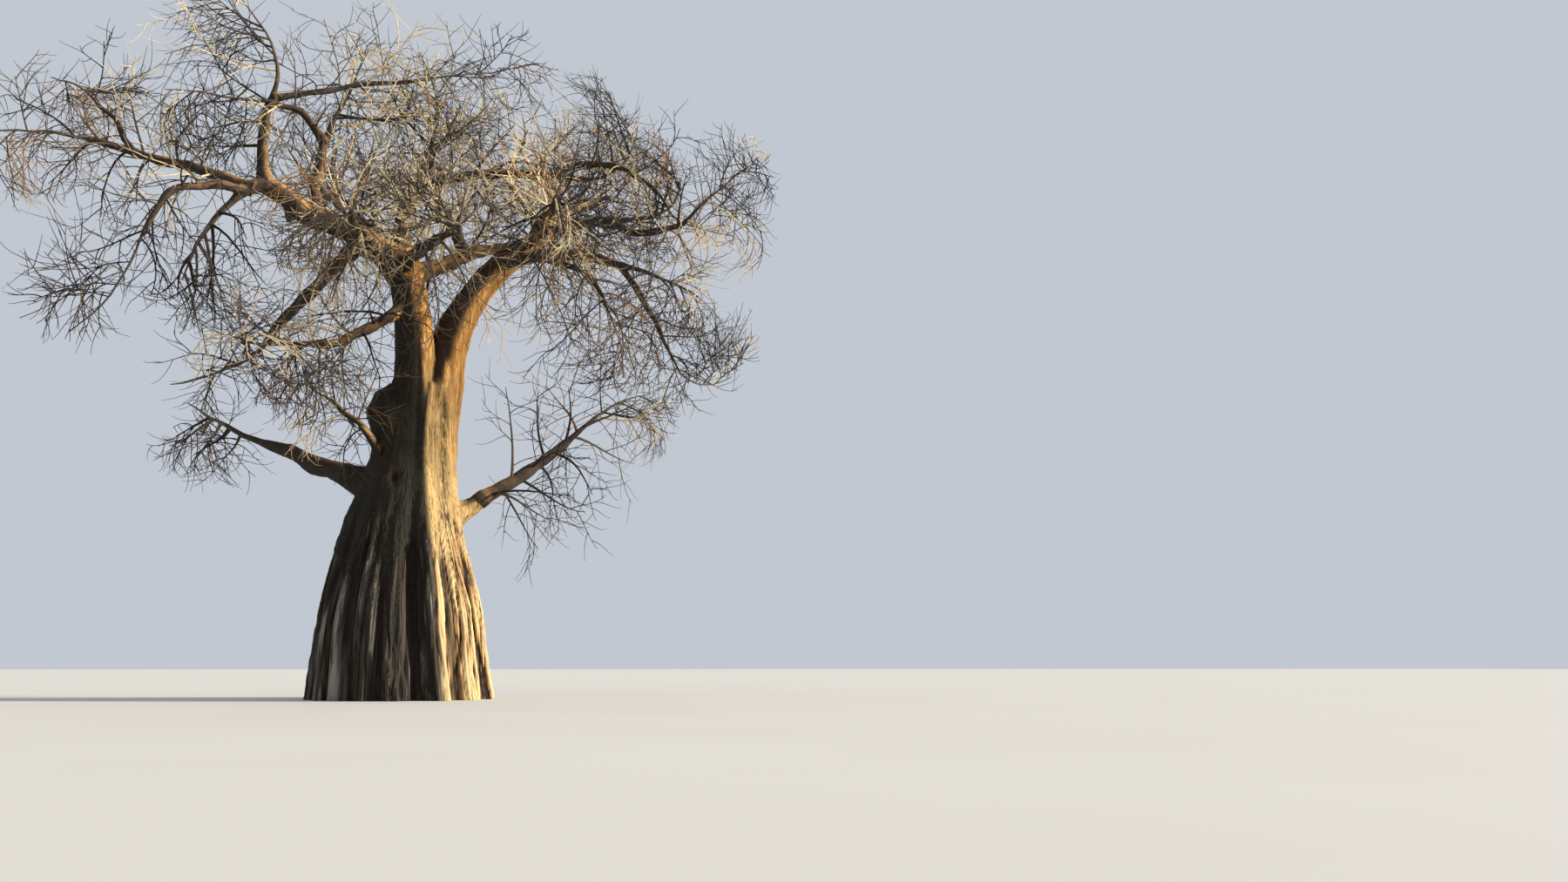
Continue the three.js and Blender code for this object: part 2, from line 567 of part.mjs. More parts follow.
// Adds one solid to the tree as a named mesh.
function addNode(tree, name, solid, material) {
  const mesh = new THREE.Mesh(geometryOf(solid), material);
  mesh.name = name;
  tree.add(mesh);
}

// The whole tree: the trunk, then the limbs, each cut clear of those before it, then the masses.
function buildTree() {
  const tree = new THREE.Group();
  addNode(tree, "trunk", trunkSolid(), BARK);
  const cutters = [trunkSolid(CLEARANCE)];
  const routes = new Map();
  const taken = [];
  for (const limb of LIMBS) {
    const line = limbRoute(limb, routes);
    routes.set(limb.name, line);
    const solid = cutters.reduce((left, cutter) => left.subtract(cutter), limbSolid(limb, line));
    addNode(tree, limb.name, largestBody(solid), limb.foot ? BARK : YOUNG_BARK);
    cutters.push(limbSolid(limb, line, CLEARANCE));
    const radii = line.map((_, k) => limbRadius(limb, k / (line.length - 1)));
    taken.push(...piecesOf(line, radii, limb.name));
  }
  MASSES.forEach((mass, index) => {
    const limb = LIMBS.find((candidate) => candidate.name === mass.tipOf);
    addNode(tree, mass.name, massSolid(mass, index + 1, limb, routes.get(mass.tipOf), taken), TWIG_BARK);
  });
  return tree;
}

export default buildTree();
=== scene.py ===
"""A leafless baobab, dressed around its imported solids.

The trunk, both stems and the roots of their boughs are one skin of fluted bark. The boughs are knobbly
tubes, and every mass of twigs grows again from its bough by the solids' rule, carried on to fine whips.
Lengths are in metres, +Z is up and the origin is the middle of the flat cut under the trunk. An azimuth
of 0 points along +X and 90 along +Y, away from the camera.
"""

import json
import logging
import math
from dataclasses import dataclass, field, replace
from enum import Enum
from typing import Self

import bmesh
import bpy
import numpy as np
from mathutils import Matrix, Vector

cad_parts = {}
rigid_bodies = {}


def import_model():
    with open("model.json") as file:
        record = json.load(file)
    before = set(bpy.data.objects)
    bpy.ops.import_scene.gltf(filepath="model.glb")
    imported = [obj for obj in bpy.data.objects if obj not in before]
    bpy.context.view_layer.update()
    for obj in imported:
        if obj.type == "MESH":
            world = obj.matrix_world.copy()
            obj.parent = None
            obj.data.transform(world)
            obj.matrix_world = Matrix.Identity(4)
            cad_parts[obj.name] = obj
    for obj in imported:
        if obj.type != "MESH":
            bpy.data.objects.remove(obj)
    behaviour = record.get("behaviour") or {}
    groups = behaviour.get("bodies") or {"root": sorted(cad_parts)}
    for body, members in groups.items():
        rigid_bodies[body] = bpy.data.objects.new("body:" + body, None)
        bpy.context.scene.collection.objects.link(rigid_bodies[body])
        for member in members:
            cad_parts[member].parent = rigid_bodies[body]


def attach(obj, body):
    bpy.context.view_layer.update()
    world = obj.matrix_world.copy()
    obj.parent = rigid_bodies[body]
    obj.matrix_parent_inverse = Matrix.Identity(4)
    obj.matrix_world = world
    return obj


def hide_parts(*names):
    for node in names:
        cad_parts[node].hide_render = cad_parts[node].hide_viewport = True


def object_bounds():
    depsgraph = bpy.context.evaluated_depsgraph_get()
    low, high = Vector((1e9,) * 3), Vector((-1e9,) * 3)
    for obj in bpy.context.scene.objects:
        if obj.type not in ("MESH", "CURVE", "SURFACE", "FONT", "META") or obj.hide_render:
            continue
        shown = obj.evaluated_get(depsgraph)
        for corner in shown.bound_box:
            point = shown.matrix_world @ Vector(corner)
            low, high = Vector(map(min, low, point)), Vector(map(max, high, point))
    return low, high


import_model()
CAD_BOX = [list(corner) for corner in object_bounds()]
BODY = "root"
DULL_SPECULAR = 0.22

# The turn from one shoot to the next, in degrees, and the stride of the finer shoots' seeds
GOLDEN_ANGLE = 137.5
SEED_STRIDE = 31

# The factors of the seed, of the index and of the wave in the hash that every draw comes from
HASH_FACTORS = (12.9898, 78.233, 43758.5453)

# The colour sockets of a Mix node, and the socket of a Compare node for how far two numbers may differ
MIX_FIRST, MIX_SECOND, MIX_RESULT = 6, 7, 2
COMPARE_WITHIN = 12

log = logging.getLogger("baobab")

Array = np.ndarray
Span = tuple[float, float]
Point = tuple[float, float, float]
Rgb = tuple[float, float, float]

# The scale, the detail and the roughness of a noise
Noise = tuple[float, float, float]


# Numbers and lines


def lerp(start: Array | float, end: Array | float, share: Array | float) -> Array | float:
    """Return the value at a share of the way from start to end."""
    return start + (end - start) * share


def smooth(low: float, high: float, value: Array | float) -> Array | float:
    """Return 0 below low, 1 above high and a smooth step between them."""
    share = np.clip((value - low) / (high - low), 0, 1)
    return share * share * (3 - 2 * share)


def direction(azimuth: Array | float, climb: Array | float) -> Array:
    """Return the unit vector of an azimuth and a climb above the horizontal, in degrees."""
    turn, rise = np.radians(azimuth), np.radians(climb)
    level = np.cos(rise)
    return np.stack([level * np.cos(turn), level * np.sin(turn), np.sin(rise) + 0 * turn], axis=-1)


def chance(seed: Array | float, index: Array | float) -> Array:
    """Return the same number between 0 and 1 for the same seed and index."""
    of_seed, of_index, of_wave = HASH_FACTORS
    wave = np.sin(seed * of_seed + index * of_index) * of_wave
    return wave - np.floor(wave)


def drawn(span: Span, seed: Array | float, index: Array | float) -> Array:
    """Return a number drawn from a span."""
    return lerp(span[0], span[1], chance(seed, index))


def unit(vectors: Array) -> Array:
    """Return the vectors at length 1."""
    return vectors / np.linalg.norm(vectors, axis=-1, keepdims=True)


def point_at(lines: Array, share: Array | float) -> Array:
    """Return points at a share of the way along lines of evenly spaced points.

    Args:
        lines: One line as (points, 3), or several as (lines, points, 3).
        share: A number for one line, or (lines, shares) for several.

    Returns:
        The points, as (3,) or (lines, shares, 3).
    """
    place = np.asarray(share) * (lines.shape[-2] - 1)
    index = np.clip(np.floor(place).astype(int), 0, lines.shape[-2] - 2)
    part = (place - index)[..., None]
    if lines.ndim == 2:
        return lerp(lines[index], lines[index + 1], part)
    row = np.arange(len(lines))[:, None]
    return lerp(lines[row, index], lines[row, index + 1], part)


def curved(lines: Array, count: int) -> Array:
    """Return Catmull-Rom curves through the points of lines.

    Args:
        lines: The lines, as (lines, points, 3).
        count: How many evenly shared points each curve gets.

    Returns:
        The curves, as (lines, count, 3).
    """
    before = 2 * lines[:, :1] - lines[:, 1:2]
    after = 2 * lines[:, -1:] - lines[:, -2:-1]
    knots = np.concatenate([before, lines, after], axis=1)
    place = np.linspace(0, lines.shape[1] - 1, count)
    index = np.minimum(place.astype(int), lines.shape[1] - 2)
    t = (place - index)[None, :, None]
    a, b, c, d = (knots[:, index + k] for k in range(4))
    return 0.5 * (2 * b + (c - a) * t + (2 * a - 5 * b + 4 * c - d) * t**2 + (3 * b - a - 3 * c + d) * t**3)


# Node trees, written as expressions


@dataclass(frozen=True)
class Field:
    """One output socket of a node tree, with operators that add the node of a sum, product or power."""

    graph: "Graph"
    socket: bpy.types.NodeSocket

    def _join(self, operation: str, first: object, second: object) -> "Field":
        """Add the Math or Vector Math node of an operation on two operands."""
        wide = ("VECTOR", "RGBA")
        flat = not any(isinstance(x, Field) and x.socket.type in wide for x in (first, second))
        kind = "ShaderNodeMath" if flat else "ShaderNodeVectorMath"
        spread = [x if flat or isinstance(x, Field) else (x, x, x) for x in (first, second)]
        return self.graph.node(kind, {"operation": operation}, {0: spread[0], 1: spread[1]})

    def __add__(self, other: object) -> "Field":
        """Return self + other."""
        return self._join("ADD", self, other)

    def __sub__(self, other: object) -> "Field":
        """Return self - other."""
        return self._join("SUBTRACT", self, other)

    def __rsub__(self, other: object) -> "Field":
        """Return other - self."""
        return self._join("SUBTRACT", other, self)

    def __mul__(self, other: object) -> "Field":
        """Return self * other."""
        return self._join("MULTIPLY", self, other)

    def __pow__(self, other: object) -> "Field":
        """Return self to the power of other."""
        return self._join("POWER", self, other)

    def __abs__(self) -> "Field":
        """Return the size of self without its sign."""
        return self.graph.node("ShaderNodeMath", {"operation": "ABSOLUTE"}, {0: self})

    def split(self) -> tuple["Field", "Field", "Field"]:
        """Return the X, Y and Z of a vector."""
        parts = self.graph.node("ShaderNodeSeparateXYZ", {}, {0: self})
        return tuple(Field(self.graph, socket) for socket in parts.socket.node.outputs)

    def step(self, low: object, high: object) -> "Field":
        """Return a smooth step of self from 0 at low to 1 at high."""
        settings = {"interpolation_type": "SMOOTHSTEP"}
        return self.graph.node("ShaderNodeMapRange", settings, {0: self, 1: low, 2: high})

    def fit(self, low: float, high: float, new_low: float, new_high: float) -> "Field":
        """Return self moved from one range to another, and held inside it."""
        inputs = {0: self, 1: low, 2: high, 3: new_low, 4: new_high}
        return self.graph.node("ShaderNodeMapRange", {"clamp": True}, inputs)

    def off_middle(self, sharpness: float) -> "Field":
        """Return how far self is from 0.5, times a sharpness, as a number from 0 to at most 1."""
        return (abs(self - 0.5) * sharpness).fit(0, 1, 0, 1)


class Graph:
    """A shader or geometry node tree, with one method that adds any node."""

    def __init__(self, tree: bpy.types.NodeTree) -> None:
        """Wrap a node tree and empty it."""
        self.tree = tree
        tree.nodes.clear()

    def node(self, kind: str, settings: dict, inputs: dict, output: int | str = 0) -> Field:
        """Add a node.

        Args:
            kind: The node's type.
            settings: Its properties, which are set first. "stops" is a ramp's list of (place, colour).
            inputs: Values or Fields for its sockets, by number or name.
            output: The number or the name of the output to return.

        Returns:
            The chosen output.
        """
        made = self.tree.nodes.new(kind)
        for name, value in settings.items():
            if name == "stops":
                self._set_stops(made.color_ramp, value)
            else:
                setattr(made, name, value)
        for key, value in inputs.items():
            socket = made.inputs[key]
            if isinstance(value, list):
                for each in value:
                    self.tree.links.new(each.socket, socket)
            elif isinstance(value, Field):
                self.tree.links.new(value.socket, socket)
            else:
                socket.default_value = value
        return Field(self, made.outputs[output]) if len(made.outputs) else Field(self, None)

    @staticmethod
    def _set_stops(ramp: bpy.types.ColorRamp, stops: list[tuple[float, Rgb]]) -> None:
        """Give a ramp its stops."""
        while len(ramp.elements) < len(stops):
            ramp.elements.new(1)
        for element, (place, colour) in zip(ramp.elements, stops):
            element.position = place
            element.color = (*colour, 1)

    def noise(self, vector: Field, noise: Noise) -> Field:
        """Return smooth noise between 0 and 1 over a vector."""
        scale, detail, roughness = noise
        inputs = {"Vector": vector, "Scale": scale, "Detail": detail, "Roughness": roughness}
        return self.node("ShaderNodeTexNoise", {}, inputs)

    def vector(self, x: object, y: object, z: object) -> Field:
        """Return the vector of three numbers."""
        return self.node("ShaderNodeCombineXYZ", {}, {0: x, 1: y, 2: z})


class ShaderGraph(Graph):
    """The node tree of a material."""

    def place(self) -> Field:
        """Return the place of each point on its object."""
        return self.node("ShaderNodeTexCoord", {}, {}, "Object")

    def number(self, name: str) -> Field:
        """Return a number that is stored on the mesh."""
        return self.node("ShaderNodeAttribute", {"attribute_name": name}, {}, "Fac")

    def ramp(self, value: Field, stops: list[tuple[float, Rgb]]) -> Field:
        """Return the colour of a value on a ramp."""
        return self.node("ShaderNodeValToRGB", {"stops": stops}, {0: value})

    def mix(self, factor: Field, first: object, second: object) -> Field:
        """Return a mix of two colours, which is the second where the factor is 1."""
        pair = [x if isinstance(x, Field) else (*x, 1) for x in (first, second)]
        inputs = {0: factor, MIX_FIRST: pair[0], MIX_SECOND: pair[1]}
        return self.node("ShaderNodeMix", {"data_type": "RGBA"}, inputs, MIX_RESULT)


class GeometryGraph(Graph):
    """A geometry node tree with named inputs, for a modifier on one object."""

    def __init__(self, name: str) -> None:
        """Make an empty tree that takes a geometry and gives one."""
        super().__init__(bpy.data.node_groups.new(name, "GeometryNodeTree"))
        self.values: dict[str, object] = {}
        self.tree.interface.new_socket("Geometry", in_out="INPUT", socket_type="NodeSocketGeometry")
        self.tree.interface.new_socket("Geometry", in_out="OUTPUT", socket_type="NodeSocketGeometry")
        self.start = self.tree.nodes.new("NodeGroupInput")

    def geometry(self) -> Field:
        """Return the geometry that comes in."""
        return Field(self, self.start.outputs[0])

    def size(self, name: str, value: object, kind: str = "NodeSocketFloat") -> Field:
        """Add a named input, which the modifier sets to a value."""
        made = self.tree.interface.new_socket(name, in_out="INPUT", socket_type=kind)
        self.values[made.identifier] = value
        return Field(self, next(s for s in self.start.outputs if s.identifier == made.identifier))

    def position(self) -> Field:
        """Return the place of each point."""
        return self.node("GeometryNodeInputPosition", {}, {})

    def normal(self) -> Field:
        """Return the normal of the surface."""
        return self.node("GeometryNodeInputNormal", {}, {})

    def read(self, name: str) -> Field:
        """Return a named number of each point."""
        return self.node("GeometryNodeInputNamedAttribute", {"data_type": "FLOAT"}, {"Name": name})

    def raised(self, rise: Field) -> Field:
        """Return the geometry that comes in, moved outwards by a distance."""
        inputs = {"Geometry": self.geometry(), "Offset": self.normal() * rise}
        return self.node("GeometryNodeSetPosition", {}, inputs)

    def store(self, geometry: Field, name: str, value: Field) -> Field:
        """Store a named number on each point."""
        settings = {"data_type": "FLOAT", "domain": "POINT"}
        inputs = {"Geometry": geometry, "Name": name, "Value": value}
        return self.node("GeometryNodeStoreNamedAttribute", settings, inputs)

    def finish(self, geometry: Field) -> None:
        """Realize what is left to realize and end the tree."""
        real = self.node("GeometryNodeRealizeInstances", {}, {"Geometry": geometry})
        end = self.tree.nodes.new("NodeGroupOutput")
        self.tree.links.new(real.socket, end.inputs[0])

    def put_on(self, thing: bpy.types.Object) -> None:
        """Add the tree to an object as a modifier, with its inputs set."""
        modifier = thing.modifiers.new(self.tree.name, "NODES")
        modifier.node_group = self.tree
        for identifier, value in self.values.items():
            modifier[identifier] = value


@dataclass(frozen=True)
class Pattern:
    """A noise over squeezed places: how far they are squeezed across and along, and the noise itself."""

    across: float
    along: float
    noise: Noise

    def over(self, place: tuple[Field, Field, Field], bend: tuple[Field, Field] | None = None) -> Field:
        """Return the noise over an X, Y and Z, of which X and Y may be bent a little."""
        x, y, z = place
        x, y, z = x * self.across, y * self.across, z * self.along
        if bend is not None:
            x, y = x + bend[0], y + bend[1]
        return z.graph.noise(z.graph.vector(x, y, z), self.noise)


@dataclass(frozen=True)
class Cover:
    """How a pattern lets one colour cover another: from low, where it starts, to high, up to a share."""

    low: float
    high: float
    share: float = 1.0

    def by(self, pattern: Field) -> Field:
        """Return how much the pattern lets through."""
        return pattern.step(self.low, self.high) * self.share


# Meshes and pieces


def mesh_object(name: str, points: Array, edges: list | Array, faces: list) -> bpy.types.Object:
    """Return a new object in the scene, with its mesh made of points, edges and faces."""
    mesh = bpy.data.meshes.new(name)
    mesh.from_pydata(points.tolist(), [tuple(e) for e in edges], [tuple(f) for f in faces])
    thing = bpy.data.objects.new(name, mesh)
    bpy.context.scene.collection.objects.link(thing)
    return thing


def settle(thing: bpy.types.Object) -> None:
    """Turn what an object's modifiers make into its own plain mesh, and remove them."""
    depsgraph = bpy.context.evaluated_depsgraph_get()
    made = bpy.data.meshes.new_from_object(
        thing.evaluated_get(depsgraph), preserve_all_data_layers=True, depsgraph=depsgraph
    )
    old = thing.data
    thing.modifiers.clear()
    thing.data = made
    bpy.data.meshes.remove(old)
    made.name = thing.name


def stacked_faces(rings: int, sides: int) -> list[tuple[int, ...]]:
    """Return the faces of a closed stack of rings, whose foot and tip points come after the last ring."""
    foot = rings * sides
    faces = []
    for side in range(sides):
        here, after = side, (side + 1) % sides
        faces.append((foot, after, here))
        for ring in range(rings - 1):
            low, high = ring * sides, (ring + 1) * sides
            faces.append((here + low, after + low, after + high, here + high))
        last = (rings - 1) * sides
        faces.append((here + last, after + last, foot + 1))
    return faces


def vectors_of(items: bpy.types.bpy_prop_collection, name: str) -> Array:
    """Return a named vector of every item, as (items, 3)."""
    values = np.empty(len(items) * 3, np.float32)
    items.foreach_get(name, values)
    return values.reshape(-1, 3).astype(float)


def vertices(thing: bpy.types.Object) -> Array:
    """Return the places of an object's vertices."""
    return vectors_of(thing.data.vertices, "co")


def vertex_normals(thing: bpy.types.Object) -> Array:
    """Return the normals at an object's vertices."""
    return vectors_of(thing.data.vertex_normals, "vector")


def store(thing: bpy.types.Object, name: str, values: Array) -> None:
    """Store a named number on each vertex."""
    attribute = thing.data.attributes.new(name, "FLOAT", "POINT")
    attribute.data.foreach_set("value", np.asarray(values, np.float32))


def triangles(thing: bpy.types.Object) -> int:
    """Return how many triangles a piece has."""
    return sum(len(face.vertices) - 2 for face in thing.data.polygons)


def dress(thing: bpy.types.Object, nodes: list[str]) -> None:
    """Make an object a finished piece that rides with the tree and stands for its solids."""
    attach(thing, BODY)
    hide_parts(*nodes)
    log.info("%s: %d triangles, for %d solids", thing.name, triangles(thing), len(nodes))


# Finishes


def srgb(red: int, green: int, blue: int) -> Rgb:
    """Return a colour, given as it shows on a screen from 0 to 255, in linear numbers."""
    shares = [value / 255 for value in (red, green, blue)]
    return tuple(s / 12.92 if s <= 0.04045 else ((s + 0.055) / 1.055) ** 2.4 for s in shares)


def principled(graph: ShaderGraph, colour: Field, roughness: Field, bump: Field | None, depth: float) -> None:
    """End a material in a Principled shader.

    Args:
        graph: The material's tree.
        colour: The base colour.
        roughness: The roughness.
        bump: The height of the fine relief, or None.
        depth: How deep that relief is, in metres.
    """
    inputs = {"Base Color": colour, "Roughness": roughness}
    if bump is not None:
        inputs["Normal"] = graph.node("ShaderNodeBump", {}, {"Distance": depth, "Height": bump})
    shader = graph.node("ShaderNodeBsdfPrincipled", {}, inputs)
    shader.socket.node.inputs["Specular IOR Level"].default_value = DULL_SPECULAR
    graph.node("ShaderNodeOutputMaterial", {}, {"Surface": shader})


def new_material(name: str) -> tuple[bpy.types.Material, ShaderGraph]:
    """Return a new material and its empty tree."""
    material = bpy.data.materials.new(name)
    material.use_nodes = True
    return material, ShaderGraph(material.node_tree)


# Between these values lies most of a noise
NOISE_SPAN = (0.3, 0.7)


@dataclass(frozen=True)
class TrunkBark:
    """Bark of the trunk and stems: bare fluted wood below, tan to orange bark above, darker in painted shade.
    """

    straw: Rgb = srgb(216, 190, 138)
    wood: Rgb = srgb(176, 140, 94)
    groove: Rgb = srgb(36, 28, 22)
    # painted shade: this colour and the next are shaded copies of the pale crests and of the wood
    pale_grey: Rgb = srgb(136, 130, 121)
    grey_wood: Rgb = srgb(72, 65, 58)
    tan: Rgb = srgb(200, 165, 110)
    orange: Rgb = srgb(244, 179, 100)
    olive: Rgb = srgb(122, 106, 68)
    # painted shade: this colour and the next are the bark away from the light, with moss in patches
    umber: Rgb = srgb(45, 41, 32)
    moss: Rgb = srgb(40, 38, 28)
    # rust on the pit rims, and the painted shade of the orange bark
    rust: Rgb = srgb(66, 46, 36)
    grain: Pattern = Pattern(34, 0.8, (1, 5, 0.65))
    threads: Pattern = Pattern(6, 0.9, (1.5, 5, 0.65))
    flakes: Pattern = Pattern(2, 1.3, (4, 5, 0.62))
    patches: Noise = (0.75, 4, 0.55)
    cracks: Pattern = Pattern(13, 0.3, (1, 2, 0.5))
    crack_bend: float = 0.6
    crack_sharpness: float = 16.0
    clefts: Pattern = Pattern(9, 0.85, (1, 3, 0.6))
    cleft_bend: float = 0.5
    cleft_sharpness: float = 13.0
    cleft_dark: float = 0.28
    pocks: Noise = (5.5, 4, 0.7)
    pock_edge: Span = (0.66, 0.74)
    pock_dark: float = 0.5
    crest_light: float = 0.42
    groove_light: float = 0.4
    grain_light: float = 0.7
    fold_light: float = 0.25
    light_from: float = 0.5
    crack_dark: float = 0.38
    lit_stops: tuple[float, ...] = (0.1, 0.38, 0.7)
    dim_stops: tuple[float, ...] = (0.08, 0.3, 0.62, 0.95)
    warm_upwards: float = 0.26
    # painted warm sunlight: the orange grows towards the light on the right
    warm_rightwards: float = 0.42
    warm_stray: float = 1.1
    warm_from: float = 2.25
    warm_width: float = 0.9
    olive_fade: float = 0.6
    # painted shade: the share of the rust colour that the orange bark takes on the side away from the light
    rust_share: float = 0.4
    # painted shade in the deep folds of the bare wood
    dark_fold: Cover = Cover(0.4, 0.9, 0.85)
    olive_flakes: Cover = Cover(0.52, 0.72, 0.45)
    moss_patches: Cover = Cover(0.42, 0.66)
    grey_flakes: Cover = Cover(0.5, 0.75, 0.35)
    dark_threads: Cover = Cover(0.48, 0.36, 0.45)
    rough_flakes: Cover = Cover(0.36, 0.54, 0.9)
    rough_threads: Cover = Cover(0.47, 0.58, 0.8)
    rusty_pit: Cover = Cover(0.02, 0.3, 0.8)
    dark_pit: Cover = Cover(0.3, 0.75)
    rag_stray: float = 1.1
    rag_edge: Span = (0.35, 0.65)
    rag_dark: float = 2.4
    shred_relief: float = 0.7
    pock_relief: float = 0.5
    cleft_relief: float = 0.35
    groove_relief: float = 0.5
    crack_relief: float = 0.3
    dullness: Span = (0.78, 0.96)
    grain_depth: float = 0.05

    def material(self) -> bpy.types.Material:
        """Return the material. It reads the numbers that the relief stored on the skin."""
        material, graph = new_material("trunk_bark")
        place = graph.place()
        names = ("crest", "groove", "strip", "sunny", "fold", "pit", "rough", "round_x", "round_y")
        numbers = (graph.number(name) for name in names)
        crest, groove, strip, sunny, fold, pit, rough, round_x, round_y = numbers
        x, y, z = place.split()
        straight, around = (x, y, z), (round_x, round_y, z)
        grain = self.grain.over(around)
        threads, flakes = self.threads.over(straight), self.flakes.over(straight)
        patches = graph.noise(place, self.patches)
        pocks = graph.noise(place, self.pocks).step(*self.pock_edge)
        bend = (x * self.crack_bend, y * self.crack_bend)
        crack = 1 - self.cracks.over(around, bend).off_middle(self.crack_sharpness)
        bend = (y * self.cleft_bend, x * -self.cleft_bend)
        cleft = 1 - self.clefts.over(around, bend).off_middle(self.cleft_sharpness)
        # orange up the stems: partly the bark's own colour, partly painted warm sunlight from the right
        warm = z * self.warm_upwards + x * self.warm_rightwards + (patches - 0.5) * self.warm_stray
        warmth = (warm - self.warm_from).step(0, self.warm_width)
        bare = self._bare_wood(graph, crest, groove, fold, grain, crack, sunny)
        bark = self._whole_bark(graph, warmth, threads, flakes, patches, sunny, rough)
        bark = graph.mix(cleft * self.cleft_dark, bark, self.groove)
        bark = graph.mix(pocks * self.pock_dark, bark, self.groove)
        bark = graph.mix(self.rusty_pit.by(pit), bark, self.rust)
        bark = graph.mix(self.dark_pit.by(pit), bark, self.groove)
        ragged = (strip + (grain - 0.5) * self.rag_stray).step(*self.rag_edge)
        colour = graph.mix(ragged, bark, bare)
        colour = graph.mix(ragged * (1 - ragged) * self.rag_dark, colour, self.groove)
        wood_relief = grain + groove * self.groove_relief - crack * self.crack_relief
        bark_relief = (flakes + threads) * self.shred_relief - pocks * self.pock_relief
        bark_relief = bark_relief - cleft * self.cleft_relief
        height = wood_relief * ragged + bark_relief * (1 - ragged)
        principled(graph, colour, grain.fit(*NOISE_SPAN, *self.dullness), height, self.grain_depth)
        return material

    def _bare_wood(
        self, graph: ShaderGraph, crest: Field, groove: Field, fold: Field, grain: Field, crack: Field,
        sunny: Field,
    ) -> Field:
        """Return the bare wood's colour: pale crests, dark grooves, partly as painted light and shade."""
        # pale crests and dark grooves: partly the worn wood's own colour, partly painted highlight and
        # painted shade
        light = crest * self.crest_light + groove * self.groove_light + grain * self.grain_light
        light = light + fold * self.fold_light - self.light_from - crack * self.crack_dark
        light = light.fit(0, 1, 0, 1)
        lit = graph.ramp(light, list(zip(self.lit_stops, (self.groove, self.wood, self.straw))))
        greys = (self.groove, self.umber, self.grey_wood, self.pale_grey)
        dim = graph.ramp(light, list(zip(self.dim_stops, greys)))
        # painted light on the side towards the light, painted shade elsewhere
        bare = graph.mix(sunny, dim, lit)
        # painted shade in the deep folds between the flutes
        return graph.mix(self.dark_fold.by(1 - fold), bare, self.groove)

    def _whole_bark(
        self, graph: ShaderGraph, warmth: Field, threads: Field, flakes: Field, patches: Field,
        sunny: Field, rough: Field,
    ) -> Field:
        """Return the bark's colour: orange up the stems, shredded in places, in painted light and shade."""
        lit = graph.mix(warmth, self.tan, self.orange)
        olive = self.olive_flakes.by(flakes) * (1 - warmth * self.olive_fade)
        lit = graph.mix(olive, lit, self.olive)
        dim = graph.mix(self.moss_patches.by(patches), self.umber, self.moss)
        dim = graph.mix(self.grey_flakes.by(flakes), dim, self.grey_wood)
        # painted shade of the orange bark, in rust colour
        dim = graph.mix(warmth * self.rust_share, dim, self.rust)
        # painted light on the side towards the light, painted shade elsewhere
        bark = graph.mix(sunny, dim, lit)
        bark = graph.mix(self.dark_threads.by(threads), bark, self.groove)
        bark = graph.mix(self.rough_flakes.by(flakes) * rough, bark, self.olive)
        return graph.mix(self.rough_threads.by(threads) * rough, bark, self.groove)


@dataclass(frozen=True)
class BoughBark:
    """Bark of the boughs: orange-tan where thick and in painted light, copper in patches, grey painted shade
    beneath.

    At the roots of the low boughs it passes into the paler bark of the trunk.
    """

    tan: Rgb = srgb(196, 152, 98)
    copper: Rgb = srgb(152, 102, 62)
    grey: Rgb = srgb(79, 66, 50)
    # umber: the painted shade under the boughs and away from the light, and the dark bark of thin boughs
    umber: Rgb = srgb(50, 43, 37)
    # the roots' tan in painted light, and their painted shade
    root_tan: Rgb = srgb(172, 132, 86)
    root_umber: Rgb = srgb(50, 43, 35)
    patches: Noise = (1.3, 4, 0.6)
    flecks: Noise = (5, 5, 0.6)
    copper_patches: Cover = Cover(0.46, 0.62)
    warm_flecks: Cover = Cover(0.5, 0.75, 0.35)
    cool_flecks: Cover = Cover(0.4, 0.7, 0.45)
    root_flecks: Cover = Cover(0.45, 0.75, 0.4)
    root_reach: Span = (2.4, 3.4)
    root_stray: float = 1.5
    fork_height: Span = (8.5, 9.6)
    # painted shade on the low boughs: they keep only this share of the painted light
    low_warmth: float = 0.2
    thin: float = 0.07
    thick: float = 0.3
    thin_warmth: float = 0.12
    patch_span: Span = (0.3, 0.55)
    patch_warmth: float = 0.55
    patch_relief: float = 0.6
    dullness: Span = (0.75, 0.95)
    grain_depth: float = 0.02

    def material(self) -> bpy.types.Material:
        """Return the material. It reads the limb's girth and the painted light."""
        material, graph = new_material("bough_bark")
        place = graph.place()
        girth, sunny = graph.number("girth"), graph.number("sunny")
        patches = graph.noise(place, self.patches)
        flecks = graph.noise(place, self.flecks)
        warm = graph.mix(self.copper_patches.by(patches), self.tan, self.copper)
        warm = graph.mix(self.warm_flecks.by(flecks), warm, self.grey)
        # the painted shade and the dark bark of thin boughs, flecked grey
        cool = graph.mix(self.cool_flecks.by(flecks), self.umber, self.grey)
        x, y, z = place.split()
        # painted light: on thick boughs where they face the light
        mask = sunny * girth.fit(self.thin, self.thick, self.thin_warmth, 1)
        mask = mask * patches.fit(*self.patch_span, self.patch_warmth, 1)
        # the low boughs, below the fork, are painted in shade
        colour = graph.mix(mask * z.fit(*self.fork_height, self.low_warmth, 1), cool, warm)
        near = (x * x + y * y) ** 0.5 + (patches - 0.5) * self.root_stray
        near = near.fit(*self.root_reach, 1, 0) * z.fit(*self.fork_height, 1, 0)
        # painted light and shade at the roots
        root = graph.mix(sunny, self.root_umber, self.root_tan)
        root = graph.mix(self.root_flecks.by(flecks), root, self.grey)
        colour = graph.mix(near, colour, root)
        roughness = flecks.fit(*NOISE_SPAN, *self.dullness)
        principled(graph, colour, roughness, flecks + patches * self.patch_relief, self.grain_depth)
        return material


